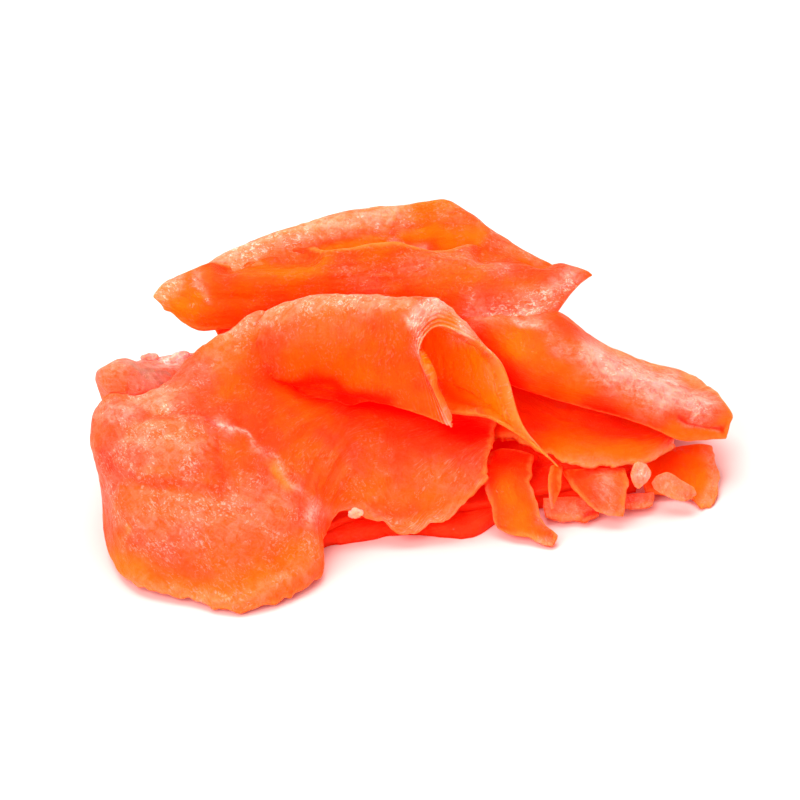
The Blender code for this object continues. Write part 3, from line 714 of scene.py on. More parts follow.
def pale_scrap():
    """The pale, thin scrap beside the round tongue."""
    foot = [(54.4, 28.4, 43), (55.6, 27.8, 42.4), (57.4, 29, 43.2)]
    middle = [(53.2, 31.2, 43.6), (56, 31, 43), (58.8, 31.8, 44)]
    top = [(54, 33.6, 44.3), (55.4, 34.4, 44.2), (57.8, 33.8, 44.8)]
    return lines(foot, middle, top)


def low_strip():
    """The strip on the floor under the two tongues."""
    front = [(33.5, 21.8, 39), (39.5, 20.6, 37.6), (44, 21.3, 38.6), (47, 22.4, 40.4)]
    back = [(32.5, 26.4, 46), (38.5, 26.6, 46), (44, 26.6, 46), (48, 26.6, 46)]
    return lines(front, back)


def red_strip():
    """The narrow strip on the floor under the pale scrap."""
    front = [(51, 24.2, 43.4), (55.5, 23.9, 43), (59, 24.6, 44.2)]
    back = [(51, 27.2, 48.5), (55.5, 27.4, 49), (59.5, 27.6, 49.5)]
    return lines(front, back)


def bottom_slice():
    """The flat slice that the heap lies on."""
    front = [(-56, 18, 0), (-42, 11, 0), (-27, 13, 0), (-21, 26, 0), (-8, 32, 0), (4, 34.5, 0),
             (16, 33, 0), (27, 44, 0), (44, 50, 0), (55, 54, 0)]
    middle = [(-61, 42, 0), (-48, 42, 0), (-34, 44, 0), (-22, 48, 0), (-8, 50, 0), (4, 52, 0),
              (16, 54, 0), (30, 56, 0), (45, 60, 0), (57, 64, 0)]
    rear = [(-58, 66, 0), (-46, 70, 0), (-32, 72, 0), (-20, 74, 0), (-8, 76, 0), (4, 77, 0),
            (16, 77, 0), (30, 77, 0), (45, 76, 0), (57, 74, 0)]
    back = [(-52, 80, 0), (-44, 88, 0), (-31, 94, 0), (-20, 98, 0), (-8, 98, 0), (4, 97, 0),
            (16, 94, 0), (30, 93, 0), (45, 90, 0), (56, 83, 0)]
    return lines(front, middle, rear, back, point=placed) + (0, 0, BASE_HEIGHT)


class Wire:
    """A value in a material, with arithmetic that adds the nodes it needs."""

    def __init__(self, paint, socket):
        self.paint = paint
        self.socket = socket

    def __add__(self, other):
        return self.paint.maths("ADD", self, other)

    def __radd__(self, other):
        return self.paint.maths("ADD", other, self)

    def __sub__(self, other):
        return self.paint.maths("SUBTRACT", self, other)

    def __rsub__(self, other):
        return self.paint.maths("SUBTRACT", other, self)

    def __mul__(self, other):
        return self.paint.maths("MULTIPLY", self, other)

    def __rmul__(self, other):
        return self.paint.maths("MULTIPLY", other, self)

    def larger(self, other):
        """The larger of two values."""
        return self.paint.maths("MAXIMUM", self, other)

    def held(self):
        """The value kept from 0 to 1."""
        return self.paint.node("ShaderNodeClamp", {}, {"Value": self}, "Result")

    def between(self, low, high):
        """A share that eases from 0 at low to 1 at high."""
        values = {"Value": self, "From Min": low, "From Max": high}
        settings = {"interpolation_type": "SMOOTHSTEP"}
        return self.paint.node("ShaderNodeMapRange", settings, values, "Result")


class Paint:
    """A material that is built node by node."""

    def __init__(self, name):
        self.material = bpy.data.materials.new(name)
        self.material.use_nodes = True
        self.tree = self.material.node_tree
        self.shader = self.tree.nodes["Principled BSDF"]

    @staticmethod
    def socket(sockets, identifier):
        """The socket with this identifier."""
        for found in sockets:
            if found.identifier == identifier:
                return found
        raise RuntimeError(f"this node has no socket {identifier}")

    def node(self, kind, settings, values, output):
        """Add a node with its settings, then its sockets' values, and give one of its outputs."""
        made = self.tree.nodes.new(kind)
        for name, value in settings.items():
            setattr(made, name, value)
        self.fill(made, values)
        return Wire(self, self.socket(made.outputs, output))

    def fill(self, node, values):
        """Set or link a node's inputs."""
        for name, value in values.items():
            entry = self.socket(node.inputs, name)
            if isinstance(value, Wire):
                self.tree.links.new(value.socket, entry)
            else:
                entry.default_value = value

    def maths(self, operation, first, second):
        """A Math node."""
        values = {"Value": first, "Value_001": second}
        return self.node("ShaderNodeMath", {"operation": operation}, values, "Value")

    def mix(self, share, colour, other):
        """One colour where the share is 0 and the other where it is 1."""
        values = {"Factor_Float": share, "A_Color": colour, "B_Color": other}
        return self.node("ShaderNodeMix", {"data_type": "RGBA"}, values, "Result_Color")

    def stretched(self, vector, sizes):
        """A vector divided by a size on each axis."""
        values = {"Vector": vector, "Vector_001": tuple(1 / size for size in sizes)}
        return self.node("ShaderNodeVectorMath", {"operation": "MULTIPLY"}, values, "Vector")

    def noise(self, vector, sizes, detail, distortion=0.0):
        """Noise with lumps of these sizes."""
        values = {"Vector": self.stretched(vector, sizes), "Scale": 1.0, "Detail": detail,
                  "Distortion": distortion}
        return self.node("ShaderNodeTexNoise", {}, values, "Fac")

    def field(self, name):
        """A value that the mesh holds for each of its points."""
        settings = {"attribute_name": name}
        return self.node("ShaderNodeAttribute", settings, {}, "Fac")


def solid(colour):
    """A colour with full alpha."""
    return (*colour, 1.0)


def flesh(name, look, colours):
    """Moist flesh: patches, painted tints, painted light and pale rims under a pale film of crinkles
    and flakes.
    """
    # Painted light in this material: the red of the folds is painted shade, the yellow-orange and the
    # pale borders are partly painted light through thin flesh, the pale film and its flecks are
    # partly painted highlight, sheen and glints, and the emission is a painted glow.
    paint = Paint(name)
    place = paint.node("ShaderNodeTexCoord", {}, {}, "Object")
    grain = paint.stretched(place, (MM, MM, MM))
    fibre = paint.node("ShaderNodeUVMap", {"uv_map": "fibre"}, {}, "UV")

    patches = paint.noise(grain, PATCHES, detail=3.0)
    clusters = paint.noise(grain, CLUSTERS, detail=4.0, distortion=0.8)
    clouds = paint.noise(grain, CLOUDS, detail=5.0, distortion=1.4)
    crinkles = paint.noise(grain, CRINKLES, detail=4.0, distortion=1.2)
    flakes = paint.noise(fibre, FLAKES, detail=4.0, distortion=1.0)
    streaks = paint.noise(fibre, STREAKS, detail=3.0, distortion=0.4)
    pores = paint.noise(grain, PORES, detail=2.0)

    tint = {name: (paint.field(name) * (0.6 + 0.8 * clouds)).held() for name in TINTS}
    # Painted shade: the red of the folds and creases is kept as painted, not broken up by the clouds.
    tint["deep"] = paint.field("deep")
    colour = paint.mix(patches.between(*PATCH_TURN), solid(look["main"]), solid(look["second"]))
    # The yellow-orange tint is partly painted glow of light through thin flesh, brown is the meat's
    # own colour, and the red of the folds is painted shade.
    for name in ("amber", "brown", "deep"):
        colour = paint.mix(tint[name], colour, solid(getattr(colours, name)))
    # Paler border colour where a slice is thin: partly the cut border's own tone, partly painted
    # light shining through the thin flesh.
    edge = 1.0 - (paint.field("rim") + (clouds - 0.5) * 2.5).between(*RIM_TURN)
    colour = paint.mix(edge * look["rim"], colour, solid(colours.rim))

    # The pale film: partly the flesh's own moist film, partly painted highlight and sheen where
    # strokes lay it on lit tops and thin borders.
    veil = tint["film"] + look["film"]
    broken = 0.2 + 0.7 * clouds.between(*CLOUD_TURN) + 0.5 * crinkles.between(*CRINKLE_TURN)
    broken = broken + 0.4 * streaks.between(*STREAK_TURN) + 1.2 * (pores - 0.5)
    # Pale flecks along the fibres: partly pale specks in the flesh, partly painted glints of wet
    # highlights.
    glint_flecks = flakes.between(*FLAKE_GLINT_TURN) * clusters.between(*CLUSTER_TURN) * look["flakes_and_glints"]
    broken = broken + (1.0 - broken) * (1.2 * veil).larger(veil.between(*VEIL_TURN)).held()
    # No pale film or painted sheen where the painted shade of the folds lies.
    film = (veil * broken + glint_flecks * (0.04 + 1.6 * veil)) * (1.0 - tint["deep"])
    colour = paint.mix(film.held(), colour, solid(colours.film))
    fat = (tint["fat"] * (0.4 + 1.2 * crinkles.between(*FAT_TURN))).held()
    colour = paint.mix(fat, colour, solid(colours.fat))

    rough = look["rough"] + 0.2 * (clouds - 0.5) + 0.12 * (pores - 0.5)
    height = 0.5 * streaks + 0.4 * flakes + 0.3 * pores
    height = height + (0.4 + 4.0 * veil * (1.0 - veil)) * crinkles
    bump = paint.node("ShaderNodeBump", {}, {"Strength": 0.8, "Distance": 0.5 * MM,
                                             "Height": height}, "Normal")
    wet = crinkles.between(*WET_CRINKLE_TURN) * pores.between(*WET_PORE_TURN)
    paint.fill(paint.shader, {
        "Base Color": colour,
        "Roughness": rough,
        "Normal": bump,
        "Coat Weight": 0.7 * wet,
        "Coat Roughness": 0.14,
        "IOR": 1.4,
        "Specular IOR Level": 0.03,
        "Sheen Weight": 0.01,
        "Sheen Roughness": 0.3,
        "Sheen Tint": solid(colours.film),
        # Painted glow: every face emits a dark red, and the lined inner face of the fold a bright
        # orange, standing in for light that comes through the flesh into folds and shade.
        "Emission Color": paint.mix(paint.field("glow"), solid(colours.depth), solid(colours.wall_glow)),
        "Emission Strength": 0.35,
        "Subsurface Weight": 0.6,
        "Subsurface Radius": (2.4, 0.25, 0.08),
        "Subsurface Scale": 1.1 * MM,
    })
    return paint.material


class Cut:
    """How one slice is cut and laid, with its sizes in millimetres.

    guides makes its guide lines, and finer adds grid steps across and back to the fineness.
    bites and edges belong to its front, right, back and left side: how far in they are torn, and
    the share of the thickness that is left there. relief holds the heights of swells, dimples
    and fibres, and turn is how far the fibres turn, in degrees. A hug draws a side to another
    slice: name, side, reach, sink, where. A form is a ridge or a crease: height, width, points.
    A stroke is a tint: tint, strength, width, points; the red of the folds is painted shade, and
    the yellow-orange and the pale tint are partly painted light. rings is the height of the fine
    lines beside the right border. lining is how strongly the inner face glows with painted light
    and turns yellow-orange, and a slice that has one shows its strokes and forms whichever way
    it turns.
    """

    def __init__(self, guides, **kept):
        self.guides = guides
        self.finer = kept.pop("finer", (0, 0))
        self.thickness = kept.pop("thickness", 2.7)
        self.below = kept.pop("below", ())
        self.bites = kept.pop("bites", (0.5, 0.5, 0.5, 0.5))
        self.edges = kept.pop("edges", (0.3, 0.3, 0.3, 0.3))
        self.relief = kept.pop("relief", (0.35, 0.16, 0.06))
        self.turn = math.radians(kept.pop("turn", 0))
        self.seed = kept.pop("seed", 1)
        self.hugs = kept.pop("hugs", ())
        self.forms = kept.pop("forms", ())
        self.rings = kept.pop("rings", 0.0)
        self.lining_glow = kept.pop("lining_glow", 0.0)
        self.strokes = kept.pop("strokes", ())
        if kept:
            raise RuntimeError(f"a slice has no {', '.join(kept)}")


def fibres_of(sheet, turn):
    """How far each point lies along and across the fibres, in millimetres."""
    across = lengths(sheet, 1)
    back = lengths(sheet, 0)
    along = across * math.cos(turn) + back * math.sin(turn)
    aside = back * math.cos(turn) - across * math.sin(turn)
    return along, aside


def uneven(sheet, cut, film, grain, shown):
    """The sheet with swells, dimples, fibres and its own folds and rings raised on it."""
    swell, dimple, thread = cut.relief
    along, aside = fibres_of(sheet, cut.turn)
    wrinkle = dimple * WRINKLED * film * (1 - film)
    raised = 0.0
    for height, shape in ((swell, SWELLS), (dimple, DIMPLES), (wrinkle, WRINKLES),
                          (thread, THREADS)):
        raised = raised + height * grain.lumps(along, aside, shape)
    calm = eased(edge_distance(sheet) / CALM_BAND) * (1 - CALM_LEAST) + CALM_LEAST
    raised = raised * calm
    for height, width, points in cut.forms:
        raised = raised + height * stroke_field(as_seen(sheet), points, width) * shown
    raised = raised + cut.rings * rings_of(sheet)
    return sheet + normals_of(sheet) * raised[..., None]


def rings_of(sheet):
    """Fine lines that run along the right border and fade away from it, from -1 to 1."""
    right = sides_of(sheet)[1]
    return np.sin(math.tau * right / RING_STEP) * np.exp(-(right / RING_REACH) ** 2)


def arc(distance, width):
    """The height of a round border at a distance from it, from 0 to 1."""
    return np.sqrt(1 - (1 - np.clip(distance / width, 0, 1)) ** 2)


def faces_of(sheet, edges, thickness):
    """A slice's outer and inner face: full inside, and rounded or thinned at each border."""
    share = np.ones(sheet.shape[:2])
    for distance, least in zip(sides_of(sheet), edges):
        width = ROUNDING * thickness + THINNING * (1 - least)
        share = np.minimum(share, least + (1 - least) * arc(distance, width))
    normals = calmed(normals_of(sheet))
    dip = (thickness * (1 - share) * DIP)[..., None]
    outer = sheet - normals * dip
    depth = thickness * share
    depth = depth * bend_shares(outer, depth)
    inner = outer - normals * depth[..., None]
    outer[..., 2] = np.maximum(outer[..., 2], LOWEST_OUTER)
    inner[..., 2] = np.maximum(inner[..., 2], LOWEST_INNER)
    return outer, inner


def make_slice(name, cut, finish, sizes):
    """Make one slice of the heap."""
    grain = Grain(cut.seed)
    thickness = cut.thickness * sizes.thickness
    sheet = surface(cut.guides(), *(sizes.fineness + more for more in cut.finer))
    sheet = ragged(sheet, cut.bites, grain)
    shown = 1.0 if cut.lining_glow else facing(sheet)
    fields = painted(sheet, cut.strokes, grain, shown)
    fields["film"] = np.clip(fields["film"] + cut.rings * rings_of(sheet), 0, 1)
    sheet = uneven(sheet, cut, fields["film"], grain, shown)
    inside = eased(edge_distance(sheet) / LAY_BAND)
    room = LAY_GAP + thickness * (LAY_EDGE + (1 - LAY_EDGE) * inside)
    sheet = clear_of(sheet, cut.below, room)
    for other, side, reach, sink, where in cut.hugs:
        share = eased(HUG_START - sides_of(sheet)[side] / reach) * where(as_seen(sheet)[0])
        sheet = hugged(sheet, other, share, sink)
    SHEETS[name] = sheet
    outer, inner = faces_of(sheet, cut.edges, thickness)
    fields["rim"] = edge_distance(sheet)
    fibre = fibres_of(sheet, cut.turn)
    mesh = mesh_of(name + "_look", outer, inner, fields, fibre, cut.lining_glow)
    show(name + "_look", mesh, finish, (name,))


def within(start, end, ease=6.0):
    """A share for a hug: full from start to end across the view, and fading beyond them."""
    def share(across):
        return eased((across - start) / ease + 1) * eased((end - across) / ease + 1)
    return share


def make_base(finish):
    """Make the flat slice that the heap lies on."""
    grain = Grain(BASE_SEED)
    sheet = ragged(surface(bottom_slice(), *BASE_STEPS), BASE_BITES, grain)
    rim = edge_distance(sheet)
    along, aside = fibres_of(sheet, 0)
    swell = BASE_SWELL * grain.lumps(along, aside, BASE_LUMPS)
    sheet[..., 2] += swell * eased(rim / BASE_CALM) - BASE_SWELL
    sheet[..., 2] -= BASE_FALL * (1 - arc(rim, BASE_ROUNDING))
    floor = sheet.copy()
    floor[..., 2] = 0.0
    fields = unpainted(sheet)
    fields["rim"] = rim + BASE_RIM
    mesh = mesh_of("bottom_slice_look", sheet, floor, fields, (along, aside))
    show("bottom_slice_look", mesh, finish, ("bottom_slice",))


# The flesh inside: its outline on the floor and its rings, then its most and least height, how
# far under the slices it stays, where around a point they are looked for, and its smoothing
CORE_CENTRE = (-4, 58)
CORE_OUTLINE = [(-49, 60), (-57, 44), (-56, 22), (-44, 11), (-31, 12), (-20, 27), (-9, 36),
                (6, 38), (20, 41), (34, 47), (46, 52), (54, 58), (56, 68), (54, 78), (42, 86),
                (24, 91), (0, 96), (-22, 95), (-37, 84), (-53, 73)]
CORE_RINGS = 24
CORE_STEPS = 8
CORE_INWARD = 0.99
CORE_MOST = 38.0
CORE_LEAST = 1.8
CORE_COVER = 5.0
CORE_REACH = 5
CORE_TURNS = 8
CORE_ROUNDS = 12
CORE_GAP = 0.2
CORE_RIM = 9.0


def core_height(point, covers):
    """How high the inside of the heap reaches at a point: under the lowest sheet around it."""
    least = CORE_MOST + BASE_HEIGHT
    for step in range(CORE_TURNS):
        turn = math.tau * step / CORE_TURNS
        across = point[0] + CORE_REACH * math.cos(turn)
        back = point[1] + CORE_REACH * math.sin(turn)
        for tree in covers:
            hit = tree.ray_cast(Vector((across, back, 0.0)), Vector((0, 0, 1)))[0]
            if hit is not None:
                least = min(least, hit.z - CORE_COVER)
    return max(least, BASE_HEIGHT + CORE_LEAST)


def make_core(finish):
    """Make the folded flesh inside, up to just under the slices that lie over it."""
    outline = np.array([placed(*point, 0) for point in CORE_OUTLINE + CORE_OUTLINE[:1]])
    around = smooth(outline, CORE_STEPS)
    centre = np.array(placed(*CORE_CENTRE, 0))
    sheet = np.array([centre + (around - centre) * (1 - CORE_INWARD * ring / CORE_RINGS)
                      for ring in range(CORE_RINGS + 1)])
    covers = [tree_of(made) for made in SHEETS.values()]
    heights = np.array([[core_height(point, covers) for point in ring] for ring in sheet[:, :-1]])
    for _ in range(CORE_ROUNDS):
        outward = np.concatenate([heights[:1], heights[:-1]])
        inward = np.concatenate([heights[1:], heights[-1:]])
        next_to = np.roll(heights, 1, axis=1) + np.roll(heights, -1, axis=1)
        heights = np.minimum(heights, (outward + inward + next_to) / 4)
    heights[-1] = heights[-1].mean()
    sheet[..., 2] = np.concatenate([heights, heights[:, :1]], axis=1)
    floor = sheet.copy()
    floor[..., 2] = BASE_HEIGHT + CORE_GAP
    fields = unpainted(sheet)
    fields["rim"] = np.full(sheet.shape[:2], CORE_RIM)
    mesh = mesh_of("inner_slices_look", sheet, floor, fields, fibres_of(sheet, 0))
    show("inner_slices_look", mesh, finish, ("inner_slices",))


def crumb(name, place, sheet, sizes, finish, seed):
    """Make a small lump of flesh that lies on a slice where it is seen from the front."""
    grain = Grain(seed)
    start = Vector(seen(*place, CRUMB_START))
    hit, normal, _, _ = sheet_below(sheet).ray_cast(start, -Vector(TOWARD_VIEWER))
    if hit is None:
        raise RuntimeError(f"{name} lies on nothing")
    form = bmesh.new()
    bmesh.ops.create_icosphere(form, subdivisions=CRUMB_CUTS, radius=1.0)
    turn = normal.to_track_quat("Z", "Y")
    lift = Vector((0, 0, sizes[2] * CRUMB_LIFT))
    for vertex in form.verts:
        ball = vertex.co.copy()
        x = np.array(ball.x * CRUMB_LUMPS + CRUMB_LANE)
        y = np.array(ball.y * CRUMB_LUMPS + ball.z * CRUMB_SLANT)
        ball *= 1.0 + CRUMB_BUMPS * float(grain.layered(x, y, layers=3))
        scaled = Vector(size * part for size, part in zip(sizes, ball))
        vertex.co = (hit + turn @ (scaled + lift)) * MM
    mesh = bpy.data.meshes.new(name)
    form.to_mesh(mesh)
    form.free()
    mesh.shade_smooth()
    show(name, mesh, finish, slot=sheet + "_flesh")


class SalmonSizes(bpy.types.PropertyGroup):
    """Sizes that the whole heap shares."""
    thickness: FloatProperty(name="Thickness", default=1.0, min=0.6, max=1.1,
                             description="Thickness of the slices as a share of the frame's")
    fineness: IntProperty(name="Fineness", default=24, min=6, max=40,
                          description="Grid steps between two guide points of a slice")


class SalmonColours(bpy.types.PropertyGroup):
    """Colours of the flesh, among them painted shade, painted glow and colours that are partly
    painted light.
    """
    coral: FloatVectorProperty(name="Coral", subtype="COLOR", default=(0.99, 0.040, 0.005),
                               description="Flesh of the slices in front and on top")
    orange: FloatVectorProperty(name="Orange", subtype="COLOR", default=(0.99, 0.070, 0.0008),
                                description="Brighter flesh in the patches")
    # Painted shade: the darker red of the inside and the bottom slice, which show only in the shade
    # between and under the slices.
    red: FloatVectorProperty(name="Red", subtype="COLOR", default=(0.95, 0.025, 0.002),
                             description="Flesh low in the heap")
    # Partly painted highlight and sheen: the pale film is the flesh's own, and is also laid where
    # light falls on tops and thin borders.
    film: FloatVectorProperty(name="Film", subtype="COLOR", default=(0.97, 0.48, 0.38),
                              description="Pale, moist film on the flesh")
    # Partly painted light: the paler colour of thin borders is partly their own tone, partly light
    # shining through them.
    rim: FloatVectorProperty(name="Rim", subtype="COLOR", default=(0.99, 0.22, 0.04),
                             description="Thin borders of the slices")
    fat: FloatVectorProperty(name="Fat", subtype="COLOR", default=(0.97, 0.66, 0.56),
                             description="Fat lines and crumbs")
    # Partly painted light: the yellow-orange of thin flesh, used also for the glow of light coming
    # through it and for tops lit from above.
    amber: FloatVectorProperty(name="Amber", subtype="COLOR", default=(0.99, 0.13, 0.001),
                               description="Yellow-orange margins")
    brown: FloatVectorProperty(name="Brown", subtype="COLOR", default=(0.22, 0.09, 0.05),
                               description="Grey-brown meat")
    # Painted shade: the dark red painted into folds, creases, dips and gaps where shade falls.
    deep: FloatVectorProperty(name="Deep", subtype="COLOR", default=(0.97, 0.002, 0.0001),
                              description="Red in the folds")
    # Painted glow: the dark red that all the flesh emits, standing in for light through the flesh in
    # the folds.
    depth: FloatVectorProperty(name="Depth", subtype="COLOR", default=(0.35, 0.0, 0.0),
                               description="Light that comes through the flesh in the folds")
    # Painted glow: the bright orange that the lined inner face of the fold emits.
    wall_glow: FloatVectorProperty(name="Shine", subtype="COLOR", default=(0.99, 0.05, 0.0),
                               description="Light that comes through the thin wall of the fold")


class SalmonStudio(bpy.types.PropertyGroup):
    """Light and camera."""
    key: FloatProperty(name="Key", default=14.0, min=0.0,
                       description="Power of the large light overhead, in watts")
    fill: FloatProperty(name="Fill", default=15.0, min=0.0,
                        description="Power of the light in front, in watts")
    sky: FloatProperty(name="Sky", default=0.8, min=0.0,
                       description="Strength of the white surroundings")
    # Painted light: the warm tint stands in for the red light that the flesh throws into the floor's
    # shadows.
    floor: FloatVectorProperty(name="Floor", subtype="COLOR", default=(0.92, 0.59, 0.56),
                               description="Pale floor, warm enough for warm shadows")
    frame_width: FloatProperty(name="Frame width", default=0.184, unit="LENGTH",
                               description="Width that the camera sees")
    distance: FloatProperty(name="Distance", default=3.0, unit="LENGTH",
                            description="How far the camera stands back")


# Looks: main and second colour, the base share of pale film and painted sheen, the share of flecks
# that are partly painted glints, the share of the border colour that is partly painted light, and
# roughness
LOOKS = {
    "coral": {"main": "coral", "second": "orange", "film": 0.0, "flakes_and_glints": 1.6, "rim": 0.5,
              "rough": 0.42},
    "orange": {"main": "orange", "second": "coral", "film": 0.0, "flakes_and_glints": 0.6, "rim": 0.6,
               "rough": 0.4},
    "pink": {"main": "coral", "second": "orange", "film": 0.15, "flakes_and_glints": 0.6, "rim": 0.4,
             "rough": 0.42},
    "peach": {"main": "orange", "second": "rim", "film": 0.14, "flakes_and_glints": 0.5, "rim": 0.5,
              "rough": 0.4},
    "cream": {"main": "rim", "second": "film", "film": 0.4, "flakes_and_glints": 0.4, "rim": 0.0,
              "rough": 0.45},
    "ash": {"main": "brown", "second": "film", "film": 0.45, "flakes_and_glints": 0.3, "rim": 0.0,
            "rough": 0.45},
    # The inside and the bottom slice: darker red that is painted shade between and under the slices.
    "deep": {"main": "red", "second": "coral", "film": 0.01, "flakes_and_glints": 0.1, "rim": 0.2,
             "rough": 0.4},
}


def finish_of(name, context):
    """The material of one of the looks, made when it is first asked for."""
    title = "salmon_" + name
    if title in bpy.data.materials:
        return bpy.data.materials[title]
    colours = context.scene.salmon_colours
    look = dict(LOOKS[name])
    for part in ("main", "second"):
        look[part] = getattr(colours, look[part])
    return flesh(title, look, colours)


def lay(context, name, look, cut):
    """Make a slice with the sizes and colours that the scene holds."""
    make_slice(name, cut, finish_of(look, context), context.scene.salmon_sizes)


class SALMON_OT_right(bpy.types.Operator):
    """Make the two slices on the right: the one with the flap and the one under it"""
    bl_idname = "salmon.right"
    bl_label = "Right slices"

    def execute(self, context):
        lay(context, "mid_right_slice", "orange", Cut(
            mid_right_slice, bites=(2.4, 0.6, 0.0, 0.6), seed=11, strokes=[
                ("film", 0.12, 1.6, [(37, 34.3), (44, 33.4), (52.5, 33.2), (59, 34.5), (64, 38.8)]),
                # Partly painted glow: yellow-orange along the thin lower edge, where light would come
                # through.
                ("amber", 0.6, 3.0, [(37, 36), (45, 35.5), (54, 35.5), (60, 36.5)])]))
        lay(context, "right_slice", "orange", Cut(
            right_slice, finer=(4, 0), below=("mid_right_slice",), bites=(0.5, 0.15, 0.3, 0.2),
            edges=(0.5, 0.8, 0.4, 0.3), seed=12, forms=[
                (-0.4, 0.8, [(45.5, 57), (54, 53), (61, 49.5)]),
                (-0.6, 0.7, [(64, 43.8), (68, 43.8), (72, 42.8), (76, 41.8)]),
                (0.4, 1.0, [(64, 45.8), (70, 45.2), (75, 44)]),
            ], strokes=[
                ("film", 0.6, 3.8, [(45, 59.5), (55, 53.8), (62, 50.5)]),
                ("film", 0.45, 3.4, [(62, 50.5), (70, 47.5)]),
                ("film", 0.15, 3.0, [(42, 59), (50, 52), (58, 47.5)]),
                ("film", 0.12, 1.6, [(49, 63), (59, 58.6), (68, 54.5), (75, 49)]),
                # Partly painted highlight along the top of the bulge.
                ("film", 0.12, 2.0, [(18, 67.5), (26, 69), (33, 67.5), (37, 62), (42, 56)]),
                ("film", 0.2, 0.8, [(64.5, 43.4), (70, 43.2), (74.5, 42)]),
                ("fat", 0.2, 1.3, [(28.5, 67), (31.5, 66.3)]),
                # Partly painted glow: yellow-orange on the bulge and along the thin edges of the
                # flap.
                ("amber", 0.5, 4.0, [(27, 60), (34, 57), (42, 53)]),
                ("amber", 0.8, 2.4, [(63, 41), (71, 41), (76.5, 42)]),
                ("amber", 0.9, 1.8, [(49, 63), (59, 58.6), (68, 55), (75.5, 50), (78, 45)]),
                # Painted shade under the bulge and in two creases of the flap.
                ("deep", 0.9, 1.7, [(24, 52.5), (29, 50), (38, 47.6), (47, 45), (54, 43)]),
                ("deep", 0.3, 0.7, [(45.5, 57), (54, 53), (61, 49.5)]),
                ("deep", 0.8, 0.6, [(64, 43.8), (68, 43.8), (72, 42.8), (76, 41.8)]),
            ]))
        return {"FINISHED"}


